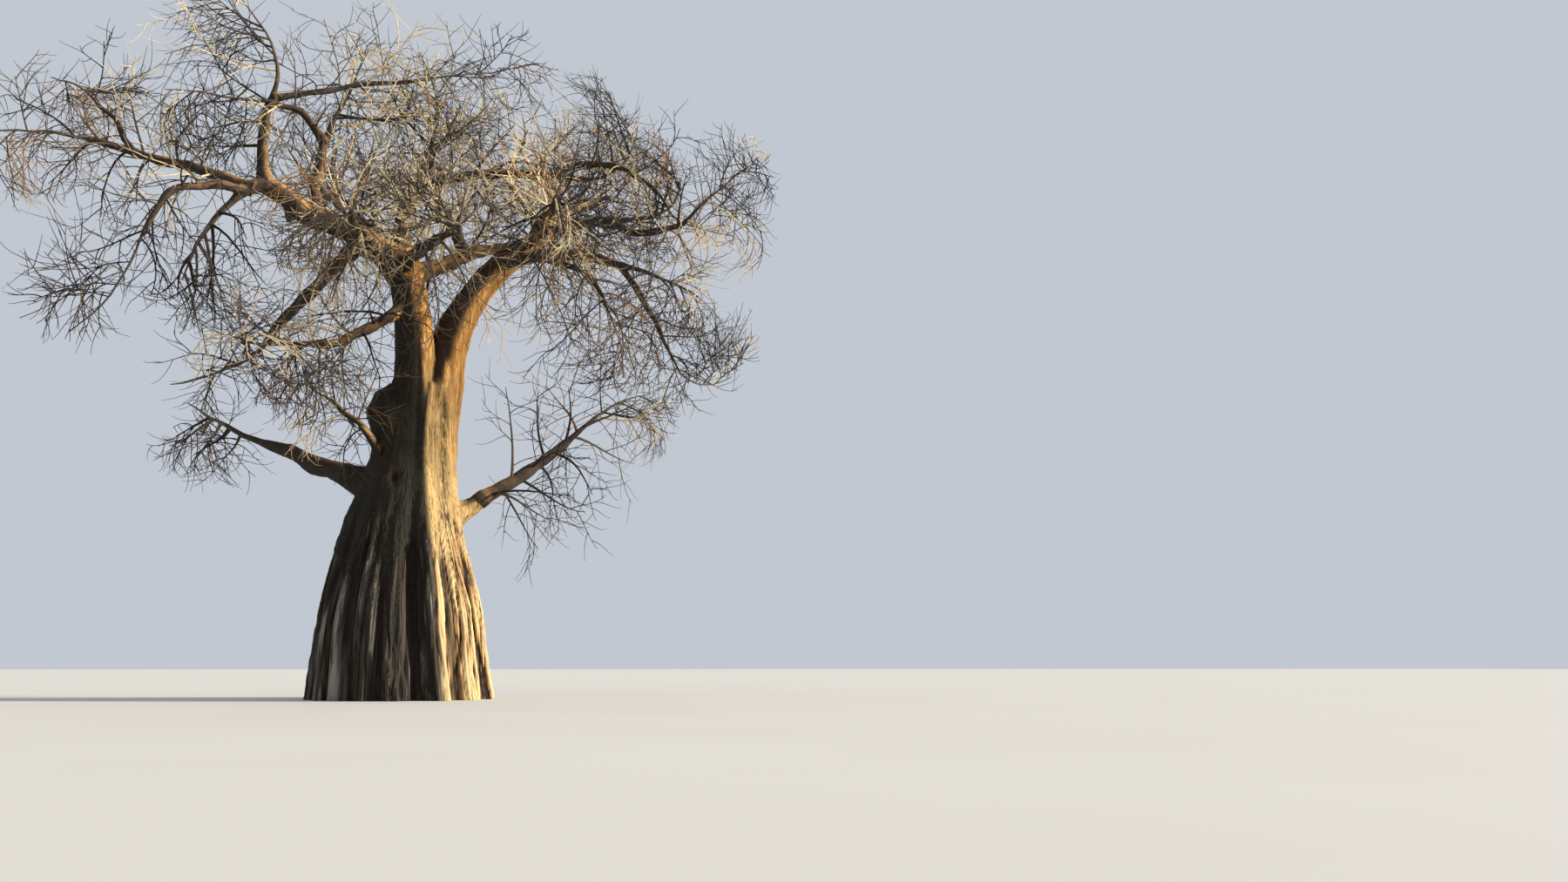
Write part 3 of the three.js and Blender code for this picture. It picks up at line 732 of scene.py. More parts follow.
class Tone(Enum):
    """The plain colours that are dealt out to the sprays of twigs."""

    # pale silver bark, which also stands for twigs in a painted highlight
    SILVER = srgb(228, 206, 162)
    STONE = srgb(106, 94, 80)
    UMBER = srgb(46, 40, 36)
    COPPER = srgb(140, 104, 70)

    @property
    def number(self) -> int:
        """Return its place in the list of tones."""
        return list(Tone).index(self)


@dataclass(frozen=True)
class TwigBark:
    """Smooth matt bark of one plain colour, a little uneven."""

    tone: Tone
    mottle: Noise = (6, 2, 0.5)
    edge: Span = (0.35, 0.65)
    unevenness: float = 0.22
    dullness: Span = (0.7, 0.88)
    grain_depth: float = 0.004

    def material(self) -> bpy.types.Material:
        """Return the material."""
        material, graph = new_material("twig_bark_" + self.tone.name.lower())
        mottle = graph.noise(graph.place(), self.mottle)
        darker = tuple(channel * (1 - self.unevenness) for channel in self.tone.value)
        colour = graph.mix(mottle.step(*self.edge), darker, self.tone.value)
        principled(graph, colour, mottle.fit(*NOISE_SPAN, *self.dullness), mottle, self.grain_depth)
        return material


@dataclass(frozen=True)
class FloorFinish:
    """A plain pale floor."""

    light: Rgb = srgb(208, 206, 200)
    dark: Rgb = srgb(201, 198, 191)
    clouds: Noise = (0.15, 2, 0.5)
    dullness: Span = (0.85, 0.95)

    def material(self) -> bpy.types.Material:
        """Return the material."""
        material, graph = new_material("studio_floor")
        cloudy = graph.noise(graph.place(), self.clouds)
        principled(graph, graph.mix(cloudy, self.dark, self.light), cloudy.fit(0, 1, *self.dullness), None, 0)
        return material


# The tree's form, as in its solids


@dataclass(frozen=True)
class Swelling:
    """A bell-shaped swelling of the trunk: its middle, its reach round and up the trunk, and its rise."""

    azimuth: float
    width: float
    height: float
    reach: float
    rise: float

    def at(self, azimuth: Array | float, height: Array | float) -> Array:
        """Return how far it stands out at a place."""
        beside = (np.mod(azimuth - self.azimuth + 180, 360) - 180) / self.width
        above = (height - self.height) / self.reach
        return self.rise * np.exp(-(beside**2) - above**2)


@dataclass(frozen=True)
class TrunkForm:
    """The outline of the trunk: taper, flare, lean, an oval that narrows at the fork, folds and a spine."""

    fork_height: float = 9.6
    waist_radius: float = 1.6
    taper: float = 0.053
    flare: float = 1.12
    flare_height: float = 4.4
    flare_softness: float = 0.95
    toe: float = 0.06
    toe_height: float = 0.45
    lean_bend: float = 0.011
    lean_return: float = 7.9
    foot_depth: float = 0.95
    fork_depth: float = 0.62
    pinch_height: float = 5.0
    folds: int = 15
    first_fold: float = -67.0
    fold_stray: float = 17.0
    fold_seed: int = 276
    fold_draw: int = 50
    fold_depth: Span = (0.19, 0.46)
    fade: Span = (3.0, 7.4)
    fold_rest: float = 0.12
    turn: float = -13.0
    turn_start: float = 3.6
    spine: float = 0.09
    spine_width: float = 9.0
    shoulder: Swelling = Swelling(178, 45, 5.3, 1.4, 0.2)

    def middle(self, height: Array | float) -> Array:
        """Return the middle of the trunk at a height."""
        across = self.lean_bend * height * (height - self.lean_return)
        return np.stack([across, 0 * across, height + 0 * across], axis=-1)

    def ridges(self) -> Array:
        """Return the azimuths of the ridges at the ground, from the spine round to the spine again."""
        ridge = np.arange(self.folds + 1)
        stray = self.fold_stray * (chance(self.fold_seed, ridge) - 0.5)
        stray[[0, -1]] = 0
        return self.first_fold + 360 * ridge / self.folds + stray

    def turned(self, azimuth: Array | float, height: Array | float) -> Array:
        """Return the azimuth at the ground of the fold that passes an azimuth at a height."""
        turn = self.turn * smooth(self.turn_start, self.fork_height, height)
        return self.first_fold + np.mod(azimuth - turn - self.first_fold, 360)

    def crest(self, azimuth: Array | float, height: Array | float) -> tuple[Array, Array]:
        """Return how near a place is to a ridge, from 0 to 1, and which fold it lies in."""
        ridges = self.ridges()
        around = self.turned(azimuth, height)
        fold = np.clip(np.searchsorted(ridges[1:], around), 0, self.folds - 1)
        share = (around - ridges[fold]) / (ridges[fold + 1] - ridges[fold])
        return np.abs(np.cos(math.pi * share)), fold

    def radius(self, azimuth: Array | float, height: Array | float) -> Array:
        """Return the radius towards an azimuth in degrees, at a height."""
        across = np.cos(np.radians(azimuth)) ** 2
        flare = self.flare / (1 + np.exp((height - self.flare_height) / self.flare_softness))
        wide = self.waist_radius - self.taper * height + flare
        pinch = smooth(self.pinch_height, self.fork_height, height)
        oval = wide * lerp(self.foot_depth, 1, across)
        lobes = wide * lerp(self.fork_depth, 1, across)
        ridge, fold = self.crest(azimuth, height)
        deep = drawn(self.fold_depth, self.fold_seed, self.fold_draw + fold)
        fade = 1 - (1 - self.fold_rest) * smooth(*self.fade, height)
        toe = self.toe * ridge * np.exp(-height / self.toe_height)
        beside = np.mod(self.turned(azimuth, height) - self.first_fold + 180, 360) - 180
        spine = self.spine * np.exp(-((beside / self.spine_width) ** 2))
        swelling = self.shoulder.at(azimuth, height)
        return lerp(oval, lobes, pinch) - deep * fade * (1 - ridge) + toe + spine + swelling


class Region(Enum):
    """The parts of the crown that the boughs and twigs are joined into, piece by piece."""

    LEFT_OUTER = "left_outer"
    LEFT_INNER = "left_inner"
    TOP = "top"
    RIGHT_OUTER = "right_outer"
    RIGHT_LOWER = "right_lower"
    FRONT = "front"
    BACK = "back"


@dataclass(frozen=True)
class Root:
    """Where a limb starts: on the fork, in the trunk's side, or on another limb."""

    foot: Span | None = None
    height: float = 0.0
    side: float = 0.0
    parent: str = ""
    at: float = 0.0


def on_fork(x: float, y: float) -> Root:
    """Return a root on the fork, at a place beside the middle."""
    return Root(foot=(x, y))


def on_trunk(height: float, side: float) -> Root:
    """Return a root in the trunk's side, at a height and an azimuth."""
    return Root(height=height, side=side)


def on_limb(parent: str, at: float) -> Root:
    """Return a root on another limb, at a share of its length."""
    return Root(parent=parent, at=at)


@dataclass(frozen=True)
class Limb:
    """A limb that turns and tapers evenly, from its first azimuth, climb and radius to its second."""

    name: str
    root: Root
    length: float
    azimuth: Span
    climb: Span
    girth: Span


LIMBS = [
    Limb("stem_left", on_fork(-0.16, -0.15), 3.9, (-146, -192), (89, 75), (0.6, 0.5)),
    Limb("stem_right", on_fork(0.76, 0.1), 5.8, (17, 2), (91, 38), (0.55, 0.36)),
    Limb("bough_left_inner", on_limb("stem_left", 0.97), 3.5, (-160, -167), (33, 8), (0.42, 0.33)),
    Limb("bough_left_elbow", on_limb("bough_left_inner", 1), 2.5, (-163, -161), (69, -70), (0.32, 0.17)),
    Limb("bough_left_long", on_limb("bough_left_elbow", 0.66), 5, (-174, -166), (14, 2), (0.19, 0.08)),
    Limb("bough_left_rise", on_limb("bough_left_long", 0.66), 2.1, (172, 178), (62, 40), (0.09, 0.05)),
    Limb("bough_left_riser", on_limb("bough_left_elbow", 0.5), 3.8, (166, 7), (71, 81), (0.2, 0.12)),
    Limb("bough_top_long", on_limb("bough_left_riser", 0.86), 6.2, (20, 13), (25, 20), (0.11, 0.05)),
    Limb("bough_left_upright", on_limb("bough_left_inner", 0.86), 3.4, (114, 57), (75, 68), (0.2, 0.15)),
    Limb("bough_left_arch", on_limb("bough_left_upright", 0.86), 2.4, (-147, -159), (59, -19), (0.14, 0.08)),
    Limb("bough_left_drop", on_limb("bough_left_elbow", 0.78), 4.6, (-128, -152), (2, -86), (0.15, 0.06)),
    Limb("bough_left_diagonal", on_limb("bough_left_inner", 0.42), 4.7, (170, 152), (-46, -52), (0.24, 0.13)),
    Limb("bough_left_hanging", on_limb("stem_left", 0.72), 5.3, (-135, -143), (-50, -8), (0.2, 0.09)),
    Limb("bough_left_low", on_trunk(6.45, 168), 3.9, (166, 167), (22, 20), (0.36, 0.16)),
    Limb("bough_left_small", on_trunk(7.2, -158), 2.8, (-144, -155), (56, 19), (0.12, 0.06)),
    Limb("bough_right_low", on_trunk(5.5, 14), 6.1, (17, 21), (31, 44), (0.28, 0.11)),
    Limb("bough_centre_riser", on_limb("stem_left", 0.97), 4.1, (124, 21), (68, 72), (0.27, 0.18)),
    Limb("bough_centre_arch", on_limb("bough_centre_riser", 0.86), 5.3, (-5, -10), (17, -5), (0.17, 0.13)),
    Limb("bough_right_high", on_limb("bough_centre_arch", 0.82), 5, (-20, -12), (30, -68), (0.13, 0.06)),
    Limb("bough_right_mid", on_limb("stem_right", 0.95), 3.7, (-11, -10), (41, 0), (0.24, 0.15)),
    Limb("bough_right_hook", on_limb("bough_right_mid", 0.87), 3.4, (-24, -21), (-41, 55), (0.14, 0.08)),
    Limb("bough_right_lower", on_limb("stem_right", 0.88), 4.4, (-23, -29), (9, -24), (0.22, 0.13)),
    Limb("bough_right_droop", on_limb("bough_right_lower", 0.86), 4.3, (-32, -24), (-56, -66), (0.12, 0.05)),
    Limb("bough_right_hang", on_limb("stem_right", 0.8), 6, (-42, -62), (12, -66), (0.16, 0.06)),
    Limb("bough_cross", on_limb("stem_left", 0.9), 6.4, (44, 54), (30, 26), (0.3, 0.16)),
    Limb("bough_front", on_limb("stem_left", 0.95), 5, (-79, -71), (7, -14), (0.24, 0.11)),
    Limb("bough_back_left", on_limb("stem_left", 0.96), 8.6, (117, 115), (38, 29), (0.26, 0.11)),
    Limb("bough_back_right", on_limb("stem_right", 0.96), 8.4, (62, 56), (38, 29), (0.24, 0.1)),
    Limb("bough_front_right", on_limb("stem_right", 0.93), 5.6, (-72, -96), (12, -14), (0.2, 0.09)),
    Limb("bough_front_left", on_limb("bough_left_inner", 0.25), 4.9, (-112, -84), (2, -14), (0.2, 0.09)),
    Limb("bough_back_mid", on_limb("bough_cross", 0.5), 6.4, (133, 90), (51, 54), (0.2, 0.1)),
]


@dataclass(frozen=True)
class Mass:
    """A mass of twigs on the tip of one bough, which has the same key, unless another is given.

    It keeps to an ellipsoid, of which it has the half widths and how far the middle is shifted from the tip.
    A positive lift turns its branches up, a negative one lets them hang.
    """

    key: str
    half: Point
    shift: Point
    lift: float
    region: Region
    bough: str = ""

    @property
    def name(self) -> str:
        """Return the name of its solid."""
        return "twigs_" + self.key

    @property
    def tip_of(self) -> str:
        """Return the name of its bough."""
        return "bough_" + (self.bough or self.key)


MASSES = [
    Mass("left_tip", (2.3, 2.4, 2), (-0.3, 0, -0.1), 0.2, Region.LEFT_OUTER, "left_long"),
    Mass("left_rise", (1.9, 2.1, 1.5), (0.2, 0, 0.2), 0.3, Region.LEFT_OUTER),
    Mass("left_elbow", (2.1, 2.3, 2.2), (-0.3, -0.4, -1.6), -0.8, Region.LEFT_INNER),
    Mass("left_riser", (2.3, 2.5, 2.2), (-1.4, -0.2, 0.6), 0.6, Region.TOP),
    Mass("top", (3.1, 2.5, 1.9), (-0.2, 0.1, 0.3), 0.4, Region.TOP, "top_long"),
    Mass("left_upright", (2.2, 2.3, 2.4), (0.7, 0.4, 0.9), 0.5, Region.TOP),
    Mass("left_arch", (2, 2.2, 2), (-0.7, -0.7, -1), -0.2, Region.LEFT_INNER),
    Mass("left_drop", (1.9, 2.4, 2.2), (-0.9, -0.4, -0.5), -1, Region.LEFT_OUTER),
    Mass("left_diagonal", (2.1, 2.3, 2), (-0.8, 0.4, 0), -0.4, Region.LEFT_INNER),
    Mass("left_hanging", (2.1, 2.1, 1.7), (0, -0.5, -0.1), -0.3, Region.LEFT_OUTER),
    Mass("left_low", (2, 2.3, 1.8), (-0.8, 0.3, 0.2), 0.1, Region.LEFT_INNER),
    Mass("left_small", (1.5, 1.9, 1.4), (-0.1, -0.5, 0.1), 0.1, Region.FRONT),
    Mass("right_low", (2.6, 2.3, 1.9), (0.1, 0.2, 0.1), 0.3, Region.RIGHT_LOWER),
    Mass("centre_riser", (2.5, 2.2, 2.4), (0.1, 0.2, 1.5), 0.6, Region.TOP),
    Mass("centre_arch", (2.8, 2.3, 2.2), (-0.3, 0.2, 1.5), 0.7, Region.RIGHT_OUTER),
    Mass("right_high", (2.4, 2.2, 2.4), (0.1, 0.1, 0.5), -0.3, Region.RIGHT_OUTER),
    Mass("right_mid", (2.5, 2.1, 2.1), (-0.2, 0.3, 0.9), 0.4, Region.RIGHT_OUTER),
    Mass("right_hook", (2.3, 2.1, 2.5), (0.3, -0.5, -0.2), -0.2, Region.RIGHT_OUTER),
    Mass("right_lower", (2.4, 2.2, 2), (0.3, -0.3, -0.4), -0.5, Region.RIGHT_LOWER),
    Mass("right_droop", (2.1, 2, 1.9), (0.1, 0, 1.1), -0.6, Region.RIGHT_LOWER),
    Mass("right_hang", (2.1, 2, 1.9), (-0.3, 0, -0.3), -0.9, Region.RIGHT_LOWER),
    Mass("cross", (2.8, 2.5, 2.2), (0.5, 0.5, 1.3), 0.3, Region.BACK),
    Mass("front", (2.1, 2.3, 1.8), (-0.3, -0.6, 0.2), 0.1, Region.FRONT),
    Mass("back_left", (2.8, 2.7, 2.3), (-0.1, 0.6, 1), 0.1, Region.BACK),
    Mass("back_right", (3, 2.7, 2.2), (0.1, 0.6, 0.6), 0.1, Region.BACK),
    Mass("front_right", (2.3, 2.3, 1.8), (0.2, -0.6, -0.5), 0, Region.FRONT),
    Mass("front_left", (2, 2.2, 1.7), (-0.2, -0.5, -0.4), 0.1, Region.FRONT),
    Mass("back_mid", (2.8, 2.6, 2.1), (0.1, 0.6, 0.4), 0.2, Region.BACK),
]


class Rows:
    """Arrays with one row for each thing, as the fields of a dataclass."""

    def chosen(self, which: Array) -> Self:
        """Return some of the rows."""
        return type(self)(*(values[which] for values in vars(self).values()))

    def joined(self, other: Self) -> Self:
        """Return these rows and the other ones."""
        pairs = zip(vars(self).values(), vars(other).values())
        return type(self)(*(np.concatenate(pair) for pair in pairs))


# Below this, two pieces count as parallel
PARALLEL = 1e-9


@dataclass(frozen=True)
class Pieces(Rows):
    """Straight round pieces of limbs: their ends, the radii there, and the number of their owner."""

    start: Array
    end: Array
    radii: Array
    owner: Array

    @staticmethod
    def of_line(line: Array, radii: Array, owner: int) -> "Pieces":
        """Return the pieces of one line."""
        both = np.stack([radii[:-1], radii[1:]], axis=1)
        return Pieces(line[:-1], line[1:], both, np.full(len(line) - 1, owner))

    def gaps(self, other: "Pieces") -> Array:
        """Return the gap between each of these pieces and each of the other ones."""
        u = (self.end - self.start)[:, None]
        v = (other.end - other.start)[None]
        w = self.start[:, None] - other.start[None]
        uu, uv, vv = (u * u).sum(-1), (u * v).sum(-1), (v * v).sum(-1)
        uw, vw = (u * w).sum(-1), (v * w).sum(-1)
        square = uu * vv - uv * uv
        crossing = square > PARALLEL
        safe = np.where(crossing, square, 1)
        s = np.where(crossing, np.clip((uv * vw - vv * uw) / safe, 0, 1), 0)
        t = np.clip((uv * s + vw) / vv, 0, 1)
        s = np.clip((uv * t - uw) / uu, 0, 1)
        apart = np.linalg.norm(w + u * s[..., None] - v * t[..., None], axis=-1)
        mine = lerp(self.radii[:, None, 0], self.radii[:, None, 1], s)
        theirs = lerp(other.radii[None, :, 0], other.radii[None, :, 1], t)
        return apart - mine - theirs


@dataclass
class Skeleton:
    """The middle lines of all limbs, by the solids' rule."""

    form: TrunkForm
    step: float = 1.15
    fewest_steps: int = 4
    sink: float = 0.25
    fork_sink: float = 0.025
    collar_swell: float = 0.4
    collar_reach: float = 1.5

    def __post_init__(self) -> None:
        """Work out every route."""
        self.limbs = {limb.name: limb for limb in LIMBS}
        self.routes: dict[str, Array] = {}
        for limb in LIMBS:
            self.routes[limb.name] = self._route(limb)

    def _start(self, limb: Limb) -> Array:
        """Return where a limb's middle line starts, a little inside what carries it."""
        root = limb.root
        if root.foot:
            return np.array([*root.foot, self.form.fork_height - self.fork_sink])
        if root.parent:
            start = point_at(self.routes[root.parent], root.at)
            back = direction(limb.azimuth[0], limb.climb[0]) * self.sink / 2
            return start if root.at < 1 else start - back
        out = self.form.radius(root.side, root.height) - self.sink
        return direction(root.side, 0) * out + self.form.middle(root.height)

    def _route(self, limb: Limb) -> Array:
        """Return a limb's middle line, whose heading turns evenly."""
        steps = max(self.fewest_steps, math.floor(limb.length / self.step + 0.5))
        share = (np.arange(steps) + 0.5) / steps
        headings = direction(lerp(*limb.azimuth, share), lerp(*limb.climb, share))
        return np.vstack([np.zeros(3), np.cumsum(headings, axis=0) * limb.length / steps]) + self._start(limb)

    def girth(self, limb: Limb, share: Array | float) -> Array:
        """Return a limb's radius at a share of its length, with the collar at its root."""
        swell = 0 if limb.root.foot else self.collar_swell
        collar = swell * np.exp(-share * limb.length / (self.collar_reach * limb.girth[0]))
        return lerp(*limb.girth, share) + limb.girth[0] * collar

    def pieces(self) -> Pieces:
        """Return the straight pieces of every limb, whose owner is the limb's number."""
        made = None
        for number, limb in enumerate(LIMBS):
            line = self.routes[limb.name]
            own = Pieces.of_line(line, self.girth(limb, np.linspace(0, 1, len(line))), number)
            made = own if made is None else made.joined(own)
        return made


# The rule of the twigs


@dataclass(frozen=True)
class ShootRule:
    """How side shoots stand along their parent.

    A share is a place along it, an opening the angle to it at its foot and tip, and a reach the shoot's
    length over its parent's length or its space's half width. With a follow, a shoot that starts upwards
    turns up more, and one that starts downwards hangs. With a curl, a shoot sags first and turns up at its
    tip. With a bow, it bends evenly to a side that is drawn for it.
    """

    count: int
    reach: float
    share: Span
    opening: Span
    lift: float = 0.45
    pieces: int = 1
    wobble: float = 0.34
    steps: int = 8
    longest: float = 9.0
    follow: float = 0.0
    curl: float = 0.0
    bow: float = 0.0


@dataclass(frozen=True)
class TwigRule:
    """The rule that every mass of the solids grows by."""

    stem_reach: float = 1.35
    stem_pull: float = 0.22
    stem_radius: float = 0.6
    stem_lean: float = 40.0
    stem_turns: int = 8
    stem_pieces: int = 4
    branch_radius: float = 0.55
    branch: ShootRule = ShootRule(7, 1.5, (0.08, 1), (95, 25), pieces=2)
    twig: ShootRule = ShootRule(2, 0.62, (0.25, 0.85), (58, 34))
    spread: Span = (0.2, 0.8)
    fall: Span = (1.1, 0.75)
    vary: Span = (0.85, 1.15)
    beside: float = 0.05
    turns: tuple[float, ...] = (0, 120, 240)
    shorter: tuple[float, ...] = (1, 0.75, 0.5)
    thinnest: float = 0.018
    clearance: float = 0.012
    ease: float = 0.6
    draw_opening: int = 51
    draw_turn: int = 77
    draw_place: int = 101
    draw_length: int = 151
    draw_bow: int = 91
    seed_stride: int = 7

    def feet(self, bough_tip: float) -> Span:
        """Return the radii at the foot of a stem and of its branches, for the radius of a bough's tip."""
        stem = max(bough_tip * self.stem_radius, self.thinnest * 2)
        return stem, max(stem * self.branch_radius, self.thinnest)


RULE = TwigRule()


@dataclass(frozen=True)
class Space:
    """An ellipsoid that twigs keep to."""

    middle: Array
    half: Array

    @property
    def mean(self) -> float:
        """Return the mean half width."""
        return float(self.half.mean())

    def holds(self, points: Array) -> Array:
        """Return which points are inside."""
        return (((points - self.middle) / self.half) ** 2).sum(-1) < 1


def grow(
    start: Array, heading: Array, length: Array, seed: Array, rule: ShootRule, lift: Array | float,
    pull: float = 0.0, space: Space | None = None,
) -> Array:
    """Grow lines that start along their headings, then stray, turn up or down, and are drawn to a middle.

    Args:
        start: Where the lines start, as (lines, 3).
        heading: Their first directions, as (lines, 3).
        length: Their lengths.
        seed: Their seeds.
        rule: The rule, for the steps and the wobble.
        lift: How far they turn up, or down where it is negative.
        pull: How strongly they are drawn to the middle of the space.
        space: The space, where there is a pull.

    Returns:
        The lines, as (lines, steps + 1, 3).
    """
    points = [start]
    along = heading
    sides = [chance(seed, RULE.draw_bow + axis) - 0.5 for axis in range(3)]
    bow = np.stack(sides, axis=1) * 2 * rule.bow
    for step in range(rule.steps):
        points.append(points[-1] + along * (length / rule.steps)[:, None])
        if pull:
            along = along + (space.middle - points[-1]) * (pull / space.mean)
        stray = np.stack([chance(seed, 3 * step + axis) - 0.5 for axis in range(3)], axis=1)
        along = along + rule.wobble * stray + bow / rule.steps
        along[:, 2] += (lift + rule.curl * (2 * step / (rule.steps - 1) - 1)) / rule.steps
        along = unit(along)
    return np.stack(points, axis=1)


# The tilt that gives an upright parent a side too
UPRIGHT_TILT = 0.001


def shoot_heading(along: Array, opening: Array, turn: Array) -> Array:
    """Return the headings that open from a parent by one angle and are turned round it by another."""
    side = unit(np.stack([-along[..., 1], along[..., 0], 0 * along[..., 0] + UPRIGHT_TILT], axis=-1))
    up = np.cross(along, side)
    open_angle, round_angle = (np.radians(a)[..., None] for a in (opening, turn))
    across = side * np.cos(round_angle) + up * np.sin(round_angle)
    return unit(along * np.cos(open_angle) + across * np.sin(open_angle))


@dataclass
class Shoot:
    """One grown line: as the solids have it, and smooth, with its seed and its length."""

    coarse: Array
    line: Array
    seed: int
    length: float


@dataclass
class MassGrower:
    """Grows the stems, branches and twigs that the solids' masses have."""

    skeleton: Skeleton

    def __post_init__(self) -> None:
        """Start with the limbs, which the twigs keep clear of."""
        self.taken = self.skeleton.pieces()
        self.numbers = {limb.name: number for number, limb in enumerate(LIMBS)}

    def _clear(self, line: Array, radius: float, but: int) -> bool:
        """Return whether a line of one radius is clear of every piece but its own bough's."""
        own = Pieces.of_line(line, np.full(len(line), radius), but)
        others = self.taken.chosen(self.taken.owner != but)
        return bool((own.gaps(others) >= RULE.clearance).all())

    def _fitting(
        self, space: Space, start: Array, headings: Array, length: float, seed: int, rule: ShootRule,
        lift: float, radius: float, but: int, pull: float = 0.0,
    ) -> Array | None:
        """Return the first possible line that stays in its space and clear, or None.

        Args:
            space: The space of the mass.
            start: Where the line starts.
            headings: The headings to try, as (headings, 3).
            length: The full length, which is tried first.
            seed: The line's seed.
            rule: The rule that it grows by.
            lift: How far it turns up.
            radius: Its radius, for the clearance.
            but: The number of the bough that it may touch, or -1.
            pull: How strongly it is drawn to the middle.

        Returns:
            The smooth line, as (points, 3), or None.
        """
        count = len(headings)
        starts = np.repeat(start[None], count, axis=0)
        for share in RULE.shorter:
            lengths = np.full(count, length * share)
            lines = grow(starts, headings, lengths, np.full(count, seed), rule, lift, pull, space)
            coarse = lines[:, :: rule.steps // rule.pieces]
            for k in np.nonzero(space.holds(coarse).all(axis=1))[0]:
                if self._clear(coarse[k], radius, but):
                    return lines[k]
        return None

    def _shoots(
        self, parent: Shoot, space: Space, rule: ShootRule, full: float, lift: float, radius: float
    ) -> list[Shoot]:
        """Return the side shoots along a parent.

        Args:
            parent: The parent shoot.
            space: The space of the mass.
            rule: The rule of the shoots.
            full: The length that the rule's factors work on.
            lift: How far the shoots turn up.
            radius: Their radius, for the clearance.

        Returns:
            The shoots that found room.
        """
        made = []
        for index in range(rule.count):
            place = (index + drawn(RULE.spread, parent.seed, RULE.draw_place + index)) / rule.count
            share = lerp(*rule.share, place)
            ahead = point_at(parent.coarse, share + RULE.beside)
            along = unit(ahead - point_at(parent.coarse, share - RULE.beside))
            opening = lerp(*rule.opening, share) * drawn(RULE.vary, parent.seed, RULE.draw_opening + index)
            turn = index * GOLDEN_ANGLE + 360 * chance(parent.seed, RULE.draw_turn)
            turns = turn + np.array(RULE.turns)
            many = len(turns)
            headings = shoot_heading(np.repeat(along[None], many, 0), np.full(many, opening), turns)
            length = full * lerp(*RULE.fall, share) * drawn(RULE.vary, parent.seed, RULE.draw_length + index)
            seed = parent.seed * RULE.seed_stride + index + 1
            start = point_at(parent.coarse, share)
            line = self._fitting(space, start, headings, length, seed, rule, lift, radius, -1)
            if line is not None:
                coarse = line[:: rule.steps // rule.pieces]
                eased = lerp(line, curved(coarse[None], len(line))[0], RULE.ease)
                eased += point_at(parent.line, share) - start
                made.append(Shoot(coarse, eased, seed, float(length)))
        return made

    def _stem(self, mass: Mass, seed: int, space: Space, route: Array, foot: float) -> Shoot:
        """Return the stem that goes on from its bough's tip."""
        heading = unit(route[-1] - route[-2])
        turns = np.tile(np.arange(RULE.stem_turns) * 360 / RULE.stem_turns, 2)
        leans = np.repeat([RULE.stem_lean / 2, RULE.stem_lean], RULE.stem_turns)
        leaning = shoot_heading(np.repeat(heading[None], len(turns), 0), leans, turns)
        headings = np.vstack([heading[None], leaning])
        rule = replace(RULE.branch, pieces=RULE.stem_pieces)
        length = space.mean * RULE.stem_reach
        but = self.numbers[mass.tip_of]
        line = self._fitting(
            space, route[-1], headings, length, seed, rule, mass.lift / 2, foot, but, RULE.stem_pull
        )
        return Shoot(line[:: rule.steps // rule.pieces], line, seed, length)

    def _take(self, shoot: Shoot, foot: float, owner: int) -> None:
        """Add a shoot to what later masses keep clear of."""
        end = len(shoot.coarse) - 1
        radii = lerp(foot, RULE.thinnest, np.arange(end + 1) / end)
        radii[end] = 0
        self.taken = self.taken.joined(Pieces.of_line(shoot.coarse, radii, owner))

    def grow_mass(self, mass: Mass, seed: int) -> tuple[Space, Shoot, list[Shoot], list[Shoot]]:
        """Return a mass's space, its stem, its branches and its twigs."""
        limb = self.skeleton.limbs[mass.tip_of]
        route = self.skeleton.routes[mass.tip_of]
        space = Space(route[-1] + np.array(mass.shift), np.array(mass.half, float))
        stem_foot, branch_foot = RULE.feet(limb.girth[1])
        stem = self._stem(mass, seed, space, route, stem_foot)
        reach = space.mean * RULE.branch.reach
        branches = self._shoots(stem, space, RULE.branch, reach, mass.lift, branch_foot)
        twigs = []
        owner = len(LIMBS) + seed
        self._take(stem, stem_foot, owner)
        for branch in branches:
            full = branch.length * RULE.twig.reach
            found = self._shoots(branch, space, RULE.twig, full, RULE.twig.lift, RULE.thinnest)
            self._take(branch, branch_foot, owner)
            for twig in found:
                self._take(twig, RULE.thinnest, owner)
            twigs += found
        return space, stem, branches, twigs


@dataclass(frozen=True)
class Room:
    """A box that twigs keep to."""

    low: Array
    high: Array

    def holds(self, points: Array) -> Array:
        """Return which points are inside."""
        return ((points > self.low) & (points < self.high)).all(axis=-1)


@dataclass(frozen=True)
class Overlap:
    """What an ellipsoid and a box share."""

    space: Space
    box: Room

    def holds(self, points: Array) -> Array:
        """Return which points are inside both."""
        return self.space.holds(points) & self.box.holds(points)


@dataclass
class Sprigs(Rows):
    """Many lines of one order: their points, seeds, lengths, radii at foot and tip, and tone numbers."""

    lines: Array
    seeds: Array
    lengths: Array
    radii: Array
    tones: Array

    @staticmethod
    def of_shoots(shoots: list[Shoot], radii: Span, tones: Array) -> "Sprigs":
        """Return the shoots as lines with the same radii."""
        own = (np.array([getattr(shoot, name) for shoot in shoots]) for name in ("line", "seed", "length"))
        return Sprigs(*own, np.tile(radii, (len(shoots), 1)), tones)


